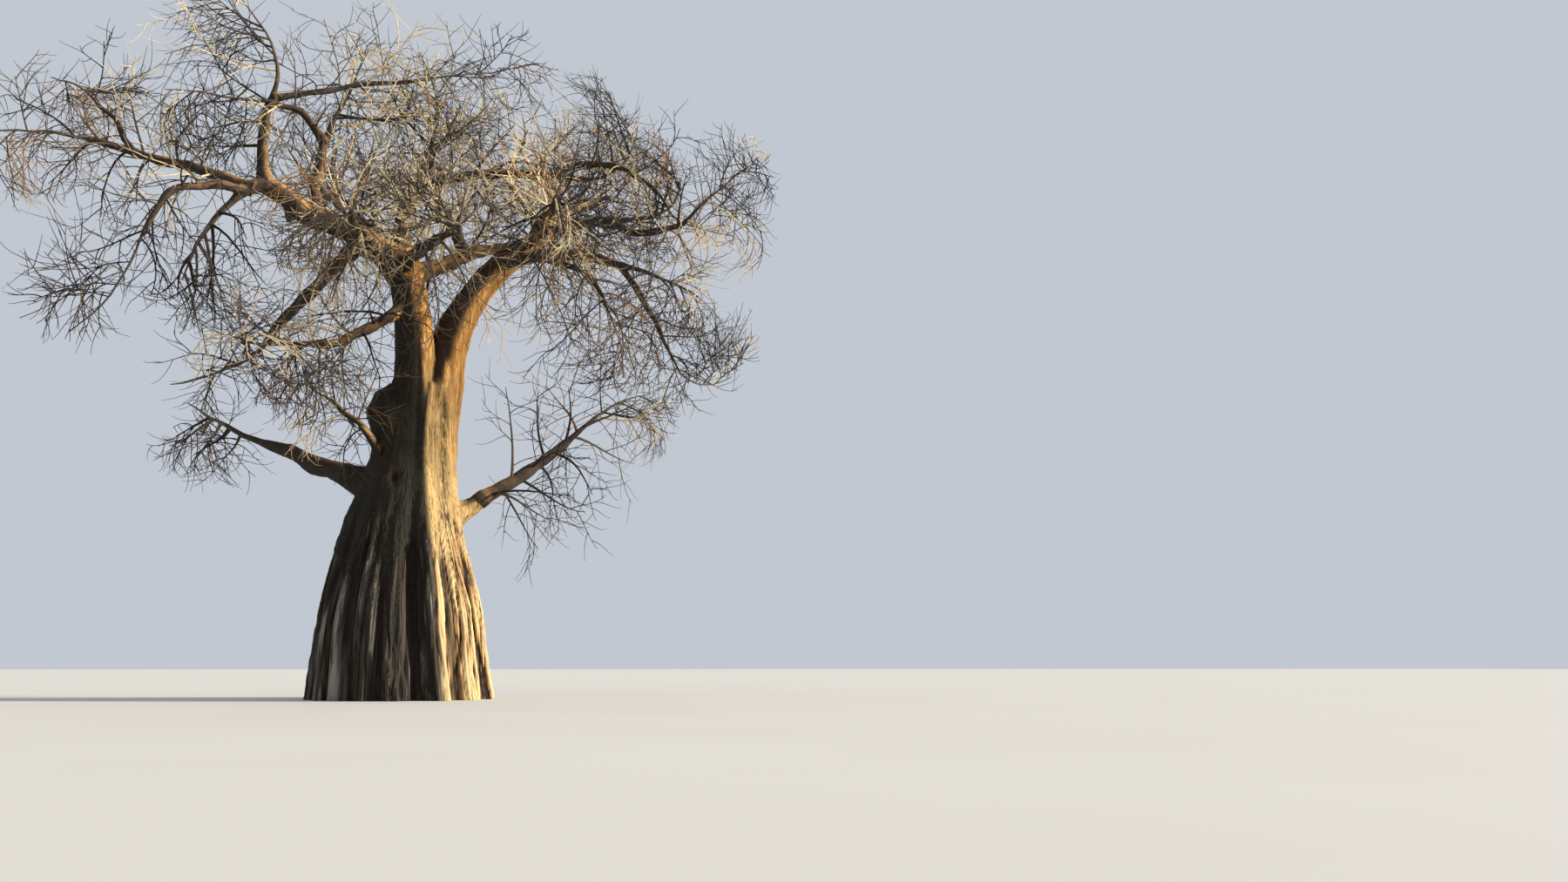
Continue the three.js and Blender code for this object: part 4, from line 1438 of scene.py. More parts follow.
def sprout(
    parents: Sprigs, rule: ShootRule, full: Array, lift: float, radii: Span,
    room: Room | Overlap, limbs: Pieces,
) -> Sprigs:
    """Grow side shoots along many parents at once, by the same rule as the solids'.

    Args:
        parents: The lines that carry them.
        rule: The rule of the shoots.
        full: The length that the rule's factors work on, for each parent.
        lift: How far the shoots turn up.
        radii: Their radii at the foot and the tip.
        room: Where they have to stay.
        limbs: The pieces of the limbs, which they keep clear of.

    Returns:
        The shoots that found room.
    """
    index = np.arange(rule.count)
    seeds = parents.seeds[:, None]
    place = (index + drawn(RULE.spread, seeds, RULE.draw_place + index)) / rule.count
    share = lerp(*rule.share, place)
    feet = point_at(parents.lines, share)
    ahead = point_at(parents.lines, share + RULE.beside)
    along = unit(ahead - point_at(parents.lines, share - RULE.beside))
    opening = lerp(*rule.opening, share) * drawn(RULE.vary, seeds, RULE.draw_opening + index)
    turn = index * GOLDEN_ANGLE + 360 * chance(seeds, RULE.draw_turn)
    length = full[:, None] * lerp(*RULE.fall, share) * drawn(RULE.vary, seeds, RULE.draw_length + index)
    made = Sprigs(
        np.zeros((feet.shape[0] * rule.count, rule.steps + 1, 3)),
        (seeds * SEED_STRIDE + index + 1).ravel(),
        np.minimum(length, rule.longest).ravel(),
        np.tile(radii, (feet.shape[0] * rule.count, 1)),
        np.repeat(parents.tones, rule.count),
    )
    feet, along = feet.reshape(-1, 3), along.reshape(-1, 3)
    waiting = np.arange(len(made.lengths))
    for shorter in RULE.shorter:
        for more in RULE.turns:
            heading = shoot_heading(along[waiting], opening.ravel()[waiting], turn.ravel()[waiting] + more)
            lengths = made.lengths[waiting] * shorter
            turned = lift + rule.follow * heading[:, 2]
            lines = grow(feet[waiting], heading, lengths, made.seeds[waiting], rule, turned)
            fits = room.holds(lines).all(axis=1) & clear_of_limbs(lines, radii[0], limbs)
            made.lines[waiting[fits]] = lines[fits]
            made.lengths[waiting[fits]] = lengths[fits]
            waiting = waiting[~fits]
    return made.chosen(np.setdiff1d(np.arange(len(made.lengths)), waiting))


def clear_of_limbs(lines: Array, radius: float, limbs: Pieces) -> Array:
    """Return which lines keep clear of the limbs, but for their first step, which may start inside one."""
    if not len(lines):
        return np.zeros(0, bool)
    count = lines.shape[1] - 2
    starts, ends = lines[:, 1:-1].reshape(-1, 3), lines[:, 2:].reshape(-1, 3)
    own = Pieces(starts, ends, np.full((len(starts), 2), radius), np.zeros(len(starts)))
    return (own.gaps(limbs).min(axis=1) >= RULE.clearance).reshape(-1, count).all(axis=1)


# Tubes and skins

# The sides of thin tubes
THIN_SIDES = 3


@dataclass
class Strands:
    """Lines with a radius at every point, a tone number and whether they count as thick."""

    lines: list[Array] = field(default_factory=list)
    radii: list[Array] = field(default_factory=list)
    tones: list[int] = field(default_factory=list)
    thick: list[bool] = field(default_factory=list)

    def add(self, line: Array, radii: Array, tone: int = 0, thick: bool = True) -> None:
        """Add one line."""
        self.lines.append(line)
        self.radii.append(radii)
        self.tones.append(tone)
        self.thick.append(thick)

    def add_all(self, sprigs: Sprigs, thick: bool) -> None:
        """Add many lines, whose radii run evenly from foot to tip."""
        share = np.linspace(0, 1, sprigs.lines.shape[1])
        for line, radii, tone in zip(sprigs.lines, sprigs.radii, sprigs.tones):
            self.add(line, lerp(radii[0], radii[1], share), int(tone), thick)

    def middle_lines(self, name: str) -> bpy.types.Object:
        """Return an object of points and edges along the lines, with their numbers on the points."""
        counts = np.array([len(line) for line in self.lines])
        first = np.arange(counts.sum() - 1)
        inside = np.delete(first, np.cumsum(counts)[:-1] - 1)
        thing = mesh_object(name, np.vstack(self.lines), np.stack([inside, inside + 1], axis=1), [])
        store(thing, "radius", np.concatenate(self.radii))
        store(thing, "tone", np.repeat(self.tones, counts))
        store(thing, "thick", np.repeat(self.thick, counts))
        return thing

    def tubes(self, name: str, thick_sides: int, thin_sides: int, materials: list) -> bpy.types.Object:
        """Return an object of closed tubes along the lines.

        Args:
            name: The object's name.
            thick_sides: How many sides the thick tubes have.
            thin_sides: How many sides the others have.
            materials: The material of each tone, or none.

        Returns:
            The object.
        """
        thing = self.middle_lines(name)
        tube_graph(thick_sides, thin_sides, materials).put_on(thing)
        settle(thing)
        return thing


def tube_graph(thick_sides: int, thin_sides: int, materials: list) -> GeometryGraph:
    """Return the tree that turns lines into tubes as thick as their points say."""
    graph = GeometryGraph("tubes")
    curves = graph.node("GeometryNodeMeshToCurve", {}, {"Mesh": graph.geometry()})
    split = {"Geometry": curves, "Selection": graph.read("thick")}
    thick = graph.node("GeometryNodeSeparateGeometry", {"domain": "CURVE"}, split)
    thin = Field(graph, thick.socket.node.outputs[1])
    tubes = []
    for label, part, sides in (("Thick sides", thick, thick_sides), ("Thin sides", thin, thin_sides)):
        count = graph.size(label, sides, "NodeSocketInt")
        profile = graph.node("GeometryNodeCurvePrimitiveCircle", {}, {"Resolution": count, "Radius": 1.0})
        inputs = {"Curve": part, "Profile Curve": profile, "Scale": graph.read("radius"), "Fill Caps": True}
        tubes.append(graph.node("GeometryNodeCurveToMesh", {}, inputs))
    joined = graph.node("GeometryNodeJoinGeometry", {}, {0: tubes})
    joined = graph.node("GeometryNodeSetShadeSmooth", {}, {"Geometry": joined})
    for number, material in enumerate(materials):
        inputs = {0: graph.read("tone"), 1: number, COMPARE_WITHIN: 0.5}
        same = graph.node("FunctionNodeCompare", {"operation": "EQUAL"}, inputs)
        bark = graph.size(material.name, material, "NodeSocketMaterial")
        inputs = {"Geometry": joined, "Selection": same, "Material": bark}
        joined = graph.node("GeometryNodeSetMaterial", {}, inputs)
    graph.finish(joined)
    return graph


def merged(name: str, things: list[bpy.types.Object]) -> bpy.types.Object:
    """Return one object with the faces of several, which are removed."""
    work = bmesh.new()
    for thing in things:
        work.from_mesh(thing.data)
    mesh = bpy.data.meshes.new(name)
    work.to_mesh(mesh)
    work.free()
    for thing in things:
        bpy.data.objects.remove(thing)
    made = bpy.data.objects.new(name, mesh)
    bpy.context.scene.collection.objects.link(made)
    return made


# How far each round of easing moves a point, towards the middle of its neighbours
EASE_FACTOR = 0.5


def grow_skin(thing: bpy.types.Object, voxel: float, smoothing: int) -> None:
    """Turn overlapping closed bodies into one eased skin."""
    remesh = thing.modifiers.new("skin", "REMESH")
    remesh.mode = "VOXEL"
    remesh.voxel_size = voxel
    remesh.use_smooth_shade = True
    ease = thing.modifiers.new("ease", "SMOOTH")
    ease.iterations = smoothing
    ease.factor = EASE_FACTOR
    settle(thing)


# How many waves a line wanders in, and how many turns the first of them has
WANDER_WAVES, FIRST_WAVE = 3, 1.5


def wander(line: Array, seed: int, reach: float) -> Array:
    """Return a line that strays sideways by up to about a reach, but not at its ends."""
    share = np.linspace(0, 1, len(line))[:, None]
    phases = chance(seed, np.arange(3 * WANDER_WAVES)).reshape(WANDER_WAVES, 3) * 2 * math.pi
    turns = share * 2 * math.pi
    waves = sum(np.sin(turns * (k + FIRST_WAVE) + phases[k]) / (k + 1) for k in range(WANDER_WAVES))
    return line + waves * reach * np.sin(math.pi * share)


@dataclass(frozen=True)
class Mark:
    """A scar or a boss on the trunk: its place, how wide and tall it is, and how far it stands out."""

    azimuth: float
    height: float
    width: float
    tall: float
    rise: float


@dataclass(frozen=True)
class Ridge:
    """A ridge on the stems: the points of its middle line, and its radii at the first and the last."""

    points: tuple[Point, ...]
    radii: Span


@dataclass
class TrunkSkin:
    """The skin of the trunk and both stems, with the roots of the boughs that they carry.

    Of its ridges, the first is the fin that runs up the front onto the left stem, the second the web between
    the stems, and the third the pointed apron of the fork.
    """

    skeleton: Skeleton
    bark: TrunkBark
    voxel: float = 0.05
    smoothing: int = 4
    below: float = 0.4
    ring_step: float = 0.1
    sides: int = 360
    fold_fade: Span = (3.2, 6.6)
    fold_rest: float = 0.02
    crown_pinch: float = 0.12
    pinch_heights: Span = (8, 9.6)
    dome_rise: float = 0.3
    dome_angles: tuple[float, ...] = (20, 40, 60, 80)
    stem_depths: Span = (2.3, 1.2)
    stem_insets: Span = (0.6, 0.9)
    line_points: int = 40
    ridge_points: int = 30
    tube_sides: int = 24
    stub_length: float = 1.3
    stub_flare: Span = (1.2, 0.84)
    pit_width: float = 0.2
    body_top: Span = (9, 9.9)
    body_reach: Span = (0.12, 0.4)
    # painted shade in the folds of the bare wood fades out between these heights
    shaded_folds: Span = (3.6, 5.6)
    # painted light: the stems are painted lit where they face this azimuth, and the body on the half whose
    # middle lies a quarter turn round from its spine
    sunward: float = 6.0
    sunny_slope: Span = (-0.15, 0.4)
    sunny_side: float = 90.0
    sunny_edge: Span = (84, 92)
    bends: Noise = (0.7, 2, 0.5)
    bend_reach: float = 0.9
    flutes: Noise = (1, 1.5, 0.45)
    flute_count: float = 5.2
    flute_run: float = 0.16
    flute_sharpness: float = 7.0
    flute_middle: float = 0.6
    flute_depth: float = 0.13
    grooves: Noise = (1, 1, 0.5)
    groove_share: float = 2.9
    groove_run: float = 0.24
    groove_sharpness: float = 9.0
    groove_middle: float = 0.7
    groove_depth: float = 0.06
    wood_fade: Span = (3.4, 6.4)
    wood_rest: float = 0.1
    fibres: Pattern = Pattern(26, 0.7, (1, 3, 0.6))
    fibre_depth: float = 0.03
    edge_height: float = 4.6
    edge_slope: float = 0.25
    edge_width: float = 0.1
    waves: Pattern = Pattern(2.2, 0, (1, 1, 0.5))
    wave_height: float = 2.4
    teeth: Pattern = Pattern(9, 0.12, (1, 2, 0.7))
    tooth_height: float = 4.6
    bark_step: float = 0.05
    lumps: Noise = (1.9, 4, 0.55)
    lump_depth: float = 0.1
    wrinkles: Pattern = Pattern(1.6, 5, (1.3, 3, 0.6))
    wrinkle_depth: float = 0.035
    shreds: Pattern = Pattern(4, 1.2, (1.6, 4, 0.65))
    shred_middle: float = 0.55
    rough_depth: float = 0.16
    rough_side: float = -42.0
    rough_width: float = 7.0
    rough_heights: Span = (4.9, 9.4)
    rough_ease: float = 0.5
    marks: tuple[Mark, ...] = (
        Mark(-145, 7.39, 0.13, 0.24, -0.16),
        Mark(-113, 6.52, 0.12, 0.24, -0.16),
        Mark(178, 8.65, 0.42, 0.55, 0.52),
        Mark(180, 9.2, 0.3, 0.36, 0.3),
        Mark(-168, 8.95, 0.3, 0.22, 0.2),
        Mark(173, 8.3, 0.14, 0.12, 0.08),
        Mark(-150, 8.2, 0.26, 0.3, 0.16),
        Mark(172, 7.9, 0.3, 0.24, 0.14),
        Mark(-120, 6.9, 0.45, 0.4, 0.1),
    )
    ridges: tuple[Ridge, ...] = (
        Ridge(
            (
                (0.27, -0.92, 6.9), (0.2, -0.76, 7.8), (0.12, -0.66, 8.8), (0.04, -0.63, 9.8),
                (-0.05, -0.62, 11), (-0.14, -0.6, 12), (-0.24, -0.5, 13.2),
            ),
            (0.16, 0.1),
        ),
        Ridge(
            ((0.35, 0.2, 8.6), (0.42, 0.25, 10), (0.62, 0.25, 11.2), (1, 0.2, 12.2), (1.6, 0.12, 13.2)),
            (0.5, 0.2),
        ),
        Ridge(
            ((0.6, -0.42, 8.4), (0.6, -0.36, 9.4), (0.68, -0.24, 10.2), (0.84, -0.04, 11), (1, 0.2, 11.8)),
            (0.28, 0.2),
        ),
    )

    def build(self) -> bpy.types.Object:
        """Return the finished piece."""
        thing = merged("trunk_skin", [self._body(), self._limbs()])
        grow_skin(thing, self.voxel, self.smoothing)
        self._number_the_skin(thing)
        self._relief().put_on(thing)
        settle(thing)
        self._cut_at_ground(thing)
        thing.data.materials.append(self.bark.material())
        dress(thing, ["trunk", "stem_left", "stem_right"])
        return thing

    def _body(self) -> bpy.types.Object:
        """Return the raw body of the trunk, which goes on under the ground and ends in a dome."""
        form = replace(self.skeleton.form, fade=self.fold_fade, fold_rest=self.fold_rest)
        arch = np.radians(self.dome_angles)
        heights = np.arange(-self.below, form.fork_height, self.ring_step)
        levels = np.concatenate([heights, heights[-1] + self.dome_rise * np.sin(arch)])
        pinched = 1 - self.crown_pinch * smooth(*self.pinch_heights, heights)
        shares = np.concatenate([pinched, (1 - self.crown_pinch) * np.cos(arch)])
        azimuths = np.arange(self.sides) * 360 / self.sides
        level, azimuth = np.meshgrid(levels, azimuths, indexing="ij")
        radius = form.radius(azimuth, np.minimum(level, form.fork_height)) * shares[:, None]
        rings = form.middle(level) + direction(azimuth, 0) * radius[..., None]
        ends = form.middle(np.array([levels[0], levels[-1]]))
        points = np.vstack([rings.reshape(-1, 3), ends])
        return mesh_object("trunk_body", points, [], stacked_faces(len(levels), self.sides))

    def _limbs(self) -> bpy.types.Object:
        """Return tubes for the stems, which start deep in the trunk, and for the roots of the boughs."""
        strands = Strands()
        for limb in LIMBS:
            route = self.skeleton.routes[limb.name]
            line = curved(route[None], self.line_points)[0]
            share = np.linspace(0, 1, len(line))
            if limb.root.foot:
                pairs = zip(self.stem_insets, self.stem_depths)
                deep = [line[0] * (inset, inset, 1) - (0, 0, depth) for inset, depth in pairs]
                radii = self.skeleton.girth(limb, np.concatenate([[0, 0], share]))
                strands.add(np.vstack([deep, line]), radii)
            elif limb.root.parent in ("", "stem_left", "stem_right"):
                reach = share * limb.length <= self.stub_length
                flare = lerp(*self.stub_flare, share[reach] / share[reach][-1])
                strands.add(line[reach], self.skeleton.girth(limb, share[reach]) * flare)
        for ridge in self.ridges:
            line = curved(np.array(ridge.points)[None], self.ridge_points)[0]
            strands.add(line, np.linspace(*ridge.radii, len(line)))
        return strands.tubes("trunk_limbs", self.tube_sides, THIN_SIDES, [])

    def _number_the_skin(self, thing: bpy.types.Object) -> None:
        """Press the marks into the skin, and store the numbers that its relief and bark read."""
        form = self.skeleton.form
        points, normals = vertices(thing), vertex_normals(thing)
        pit = np.zeros(len(points))
        for mark in self.marks:
            out = form.radius(mark.azimuth, mark.height)
            centre = form.middle(mark.height) + direction(mark.azimuth, 0) * out
            off = (points - centre) / (mark.width, mark.width, mark.tall)
            near = np.exp(-(off**2).sum(axis=1))
            points += normals * (near * mark.rise)[:, None]
            pit = np.maximum(pit, near * (mark.width < self.pit_width))
        thing.data.vertices.foreach_set("co", points.ravel())
        level = points[:, 2]
        away = points - form.middle(level)
        azimuth = np.degrees(np.arctan2(away[:, 1], away[:, 0]))
        height = np.clip(level, 0, form.fork_height)
        beyond = np.hypot(away[:, 0], away[:, 1]) - form.radius(azimuth, height)
        body = (1 - smooth(*self.body_top, level)) * (1 - smooth(*self.body_reach, beyond))
        turned = np.radians(form.turned(azimuth, height))
        crest, _ = form.crest(azimuth, height)
        # painted light and shade, stored for the bark: by facing on the stems, by the lit half on the body
        facing = smooth(*self.sunny_slope, normals @ direction(self.sunward, 0))
        beside = np.abs(np.mod(np.degrees(turned) - form.first_fold + 180 - self.sunny_side, 360) - 180)
        (low, high), ease = self.rough_heights, self.rough_ease
        rough = np.exp(-(((azimuth - self.rough_side) / self.rough_width) ** 2))
        rough *= smooth(low - ease, low + ease, level) * (1 - smooth(high - ease, high + ease, level))
        # fold is 1 on the crests and falls into the folds, where the bark paints shade
        fold = lerp(1, crest, body * (1 - smooth(*self.shaded_folds, level)))
        sunny = lerp(facing, 1 - smooth(*self.sunny_edge, beside), body)
        numbers = {"pit": pit, "body": body, "rough": rough, "fold": fold, "sunny": sunny}
        numbers.update(round_x=np.cos(turned), round_y=np.sin(turned))
        for name, values in numbers.items():
            store(thing, name, values)
        thing.data.update()

    def _relief(self) -> GeometryGraph:
        """Return the tree that raises flutes and fibres on bare wood, and lumps and wrinkles on bark."""
        graph = GeometryGraph("trunk_relief")
        place, body = graph.position(), graph.read("body")
        x, y, z = place.split()
        round_x, round_y = graph.read("round_x"), graph.read("round_y")
        straight, around = (x, y, z), (round_x, round_y, z)
        count = graph.size("Flute count", self.flute_count)
        bend = (graph.noise(place, self.bends) - 0.5) * self.bend_reach
        across, along = round_x * count, round_y * count
        flutes = graph.noise(graph.vector(across + bend, along, z * self.flute_run), self.flutes)
        crest = flutes.off_middle(self.flute_sharpness)
        finer = self.groove_share
        fine = graph.vector(across * finer, along * finer + bend, z * self.groove_run)
        groove = graph.noise(fine, self.grooves).off_middle(self.groove_sharpness)
        edge = graph.size("Edge height", self.edge_height) + x * graph.size("Edge slope", self.edge_slope)
        edge = edge + (self.waves.over(around) - 0.5) * self.wave_height
        edge = edge + (self.teeth.over(around) - 0.5) * self.tooth_height
        strip = (edge - z).step(-self.edge_width, self.edge_width)
        fade = z.fit(*self.wood_fade, 1, self.wood_rest) * body
        bark = (graph.noise(place, self.lumps) - 0.5) * graph.size("Lump depth", self.lump_depth)
        wrinkles = self.wrinkles.over(straight) - 0.5
        bark = bark + wrinkles * graph.size("Wrinkle depth", self.wrinkle_depth)
        shreds = (self.shreds.over(straight) - self.shred_middle) * graph.read("rough")
        bark = bark + shreds * graph.size("Rough depth", self.rough_depth)
        bark = bark + graph.size("Bark step", self.bark_step)
        wood = (self.fibres.over(around) - 0.5) * graph.size("Fibre depth", self.fibre_depth)
        flute = (crest - self.flute_middle) * fade * graph.size("Flute depth", self.flute_depth)
        deep = (groove - self.groove_middle) * fade * graph.size("Groove depth", self.groove_depth)
        rise = flute + deep + wood * strip + bark * (1 - strip) - self.bark_step / 2
        moved = graph.store(graph.raised(rise), "crest", crest)
        moved = graph.store(moved, "groove", groove)
        graph.finish(graph.store(moved, "strip", strip))
        return graph

    @staticmethod
    def _cut_at_ground(thing: bpy.types.Object) -> None:
        """Cut the skin flat at the ground and close it with a fan of faces."""
        work = bmesh.new()
        work.from_mesh(thing.data)
        everything = work.verts[:] + work.edges[:] + work.faces[:]
        ground, up = (0, 0, 0), (0, 0, 1)
        bmesh.ops.bisect_plane(work, geom=everything, plane_co=ground, plane_no=up, clear_inner=True)
        rim = [edge for edge in work.edges if edge.is_boundary]
        middle = work.verts.new(ground)
        for edge in rim:
            first, last = edge.verts
            turns = first.co.x * last.co.y - first.co.y * last.co.x
            work.faces.new((middle, last, first) if turns > 0 else (middle, first, last))
        work.to_mesh(thing.data)
        work.free()


class Chain(Enum):
    """The three skins of the boughs, each named after the side of the tree that it spreads on."""

    LEFT = "boughs_left"
    CENTRE = "boughs_centre"
    RIGHT = "boughs_right"


# The boughs that spring from the trunk or a stem, by the skin that they start
CHAIN_STARTS = {
    Chain.LEFT: ("left_inner", "left_hanging", "left_low", "left_small"),
    Chain.CENTRE: ("centre_riser", "cross", "front", "back_left"),
    Chain.RIGHT: ("right_low", "right_mid", "right_lower", "right_hang", "back_right", "front_right"),
}
CHAIN_OF = {"bough_" + key: chain for chain, keys in CHAIN_STARTS.items() for key in keys}


@dataclass
class BoughSkins:
    """The skins of the boughs, which run on into the stems of their masses."""

    skeleton: Skeleton
    bark: BoughBark
    stems: dict[str, Sprigs]
    voxel: float = 0.033
    smoothing: int = 3
    tube_sides: int = 16
    point_step: float = 0.22
    fewest_points: int = 6
    stray: float = 0.045
    swelling: float = 0.07
    swelling_waves: Span = (4.1, 7.3)
    run_in: Span = (0.75, 1)
    knobs: Noise = (2.6, 4, 0.6)
    knob_depth: float = 0.3
    wrinkles: Noise = (9, 3, 0.6)
    wrinkle_share: float = 0.4
    run_on: int = 3
    # painted light: the bough skins are painted lit where they face this direction
    sunward: Span = (18.0, 40.0)
    sunny_slope: Span = (-0.1, 0.55)

    def build(self) -> list[bpy.types.Object]:
        """Return the finished pieces."""
        bark = self.bark.material()
        made = []
        for chain in Chain:
            limbs = [limb for limb in LIMBS if not limb.root.foot and self._chain(limb) is chain]
            strands = Strands()
            for limb in limbs:
                strands.add(*self._line(limb))
            middles = strands.middle_lines("middles")
            thing = strands.tubes(chain.value, self.tube_sides, THIN_SIDES, [])
            grow_skin(thing, self.voxel, self.smoothing)
            # painted light and shade, stored for the bark
            facing = vertex_normals(thing) @ direction(*self.sunward)
            store(thing, "sunny", smooth(*self.sunny_slope, facing))
            self._relief(middles).put_on(thing)
            settle(thing)
            bpy.data.objects.remove(middles)
            thing.data.materials.append(bark)
            dress(thing, [limb.name for limb in limbs])
            made.append(thing)
        return made

    def _chain(self, limb: Limb) -> Chain:
        """Return the skin that a bough belongs to, which is that of the bough it springs from."""
        while limb.name not in CHAIN_OF:
            limb = self.skeleton.limbs[limb.root.parent]
        return CHAIN_OF[limb.name]

    def _line(self, limb: Limb) -> tuple[Array, Array]:
        """Return a bough's middle line and radii, on into the stem of its mass."""
        route = self.skeleton.routes[limb.name]
        count = max(self.fewest_points, round(limb.length / self.point_step))
        seed = LIMBS.index(limb)
        line = wander(curved(route[None], count)[0], seed, self.stray)
        share = np.linspace(0, 1, count)
        slow, fast = self.swelling_waves
        waves = np.sin(share * limb.length * slow + seed) + np.sin(share * limb.length * fast + 2 * seed)
        radii = self.skeleton.girth(limb, share) * (1 + self.swelling * waves)
        stem = self.stems.get(limb.name)
        if stem is None:
            return line, radii
        ahead = stem.lines[0][1 : self.run_on + 1]
        part = np.arange(1, self.run_on + 1) / (stem.lines.shape[1] - 1)
        radii = lerp(radii, stem.radii[0, 0], smooth(*self.run_in, share))
        return np.vstack([line, ahead]), np.concatenate([radii, lerp(*stem.radii[0], part)])

    def _relief(self, middles: bpy.types.Object) -> GeometryGraph:
        """Return the tree that makes the skin knobbly, in keeping with the girth, which it stores."""
        graph = GeometryGraph("bough_relief")
        lines = graph.size("Middle lines", middles, "NodeSocketObject")
        source = graph.node("GeometryNodeObjectInfo", {}, {"Object": lines}, "Geometry")
        proximity = {"target_element": "EDGES"}
        girth = graph.node("GeometryNodeProximity", proximity, {0: source}, "Distance")
        place = graph.position()
        wrinkles = (graph.noise(place, self.wrinkles) - 0.5) * self.wrinkle_share
        uneven = graph.noise(place, self.knobs) - 0.5 + wrinkles
        rise = uneven * girth * graph.size("Knob depth", self.knob_depth)
        graph.finish(graph.store(graph.raised(rise), "girth", girth))
        return graph


@dataclass
class Crown:
    """The twigs: what the solids' masses have, and finer orders of shoots on it and along the boughs."""

    skeleton: Skeleton
    more_branches: ShootRule = ShootRule(
        3, 1.5, (0.15, 1), (80, 34), wobble=0.08, follow=0.8, curl=1.1, bow=0.8
    )
    more_twigs: ShootRule = ShootRule(
        5, 0.66, (0.12, 0.98), (64, 44), lift=0.35, wobble=0.04, longest=1.7, follow=0.3, curl=1.7, bow=0.8
    )
    whips: ShootRule = ShootRule(
        3, 0.72, (0.2, 0.95), (52, 38), lift=0.7, wobble=0.02, steps=4, longest=1.2, curl=1.3, bow=0.7
    )
    bough_branches: ShootRule = ShootRule(
        1, 1.0, (0.2, 0.97), (75, 52), lift=0.1, wobble=0.1, follow=1.0, curl=1.2, bow=1.1
    )
    branches_per_metre: float = 2.4
    bough_branch_reach: float = 0.46
    bough_branch_lengths: Span = (2.0, 3.6)
    bough_branch_foot: float = 0.06
    bough_points: int = 17
    bough_surroundings: float = 2.0
    bough_seed_stride: int = 1000
    space_growth: float = 1.2
    more_branch_foot: float = 0.8
    branch_tip: float = 0.012
    twig_radii: Span = (0.02, 0.009)
    whip_radii: Span = (0.013, 0.006)
    tube_sides: int = 5
    box_margin: float = 0.05
    middle: Point = (0.3, -1.5, 15.4)
    middle_reach: float = 3.8
    middle_fullness: float = 0.9
    least_silver: float = 0.1
    # painted highlight: more silver twigs towards the crown's middle
    middle_silver: float = 0.6
    copper_luck: float = 0.92
    umber_luck: float = 0.4
    draw_luck: int = 31
    draw_silver: int = 32
    tone_point: int = 4

    def __post_init__(self) -> None:
        """Grow everything, region by region."""
        self.grower = MassGrower(self.skeleton)
        self.limb_pieces = self.skeleton.pieces()
        self.strands = {region: Strands() for region in Region}
        self.stems: dict[str, Sprigs] = {}
        low, high = (np.array(corner) for corner in CAD_BOX)
        self.room = Room(low + self.box_margin, high - self.box_margin)
        for number, mass in enumerate(MASSES):
            self._grow_mass(mass, number + 1)
        regions = {mass.tip_of: mass.region for mass in MASSES}
        for number, limb in enumerate(LIMBS):
            if not limb.root.foot:
                self._grow_on_bough(limb, number + 1, regions.get(limb.name, Region.LEFT_INNER))

    def _inwards(self, places: Array) -> Array:
        """Return how near the crown's middle some places are, from 0 to 1."""
        far = np.linalg.norm(places - np.array(self.middle), axis=-1) / self.middle_reach
        return np.exp(-(far**2))

    def _fuller(self, rule: ShootRule, count: float, place: Array) -> ShootRule:
        """Return a rule for as many shoots, or for more of them near the middle."""
        return replace(rule, count=round(count * (1 + self.middle_fullness * float(self._inwards(place)))))

    def _tones(self, places: Array, seeds: Array) -> Array:
        """Return the tone numbers dealt out to the sprays at some places."""
        # silver twigs, with more of them near the middle as a painted highlight
        silver_and_highlight = self.least_silver + self.middle_silver * self._inwards(places)
        luck = chance(seeds, self.draw_luck)
        lucky = [luck > self.copper_luck, luck > self.umber_luck]
        rest = np.select(lucky, [Tone.COPPER.number, Tone.UMBER.number], Tone.STONE.number)
        return np.where(chance(seeds, self.draw_silver) < silver_and_highlight, Tone.SILVER.number, rest)

    def _grow_mass(self, mass: Mass, seed: int) -> None:
        """Grow one mass and add it to its region."""
        space, stem, branches, twigs = self.grower.grow_mass(mass, seed)
        limb = self.skeleton.limbs[mass.tip_of]
        foot, branch_foot = RULE.feet(limb.girth[1])
        stems = Sprigs.of_shoots([stem], (foot, RULE.thinnest), np.array([Tone.STONE.number]))
        self.stems[mass.tip_of] = stems
        near = self._limbs_near(space.middle, space.half.max())
        wider = Overlap(Space(space.middle, space.half * self.space_growth), self.room)
        places = np.array([branch.line[self.tone_point] for branch in branches])
        tones = self._tones(places, np.array([branch.seed for branch in branches]))
        made = Sprigs.of_shoots(branches, (branch_foot, self.branch_tip), tones)
        full = np.array([space.mean * self.more_branches.reach])
        radii = (branch_foot * self.more_branch_foot, self.branch_tip)
        rule = self._fuller(self.more_branches, self.more_branches.count, space.middle)
        more = sprout(stems, rule, full, mass.lift, radii, wider, near)
        more.tones = self._tones(more.lines[:, self.tone_point], more.seeds)
        made = made.joined(more)
        own = Sprigs.of_shoots(twigs, self.twig_radii, self._parent_tones(twigs, made))
        self._grow_finer(mass.region, space.middle, made, own, wider, near)
        self.strands[mass.region].add_all(stems, True)

    @staticmethod
    def _parent_tones(twigs: list[Shoot], branches: Sprigs) -> Array:
        """Return the tones of the branches that twigs stand on."""
        tone_of = dict(zip(branches.seeds.tolist(), branches.tones.tolist()))
        return np.array([tone_of[(twig.seed - 1) // RULE.seed_stride] for twig in twigs])

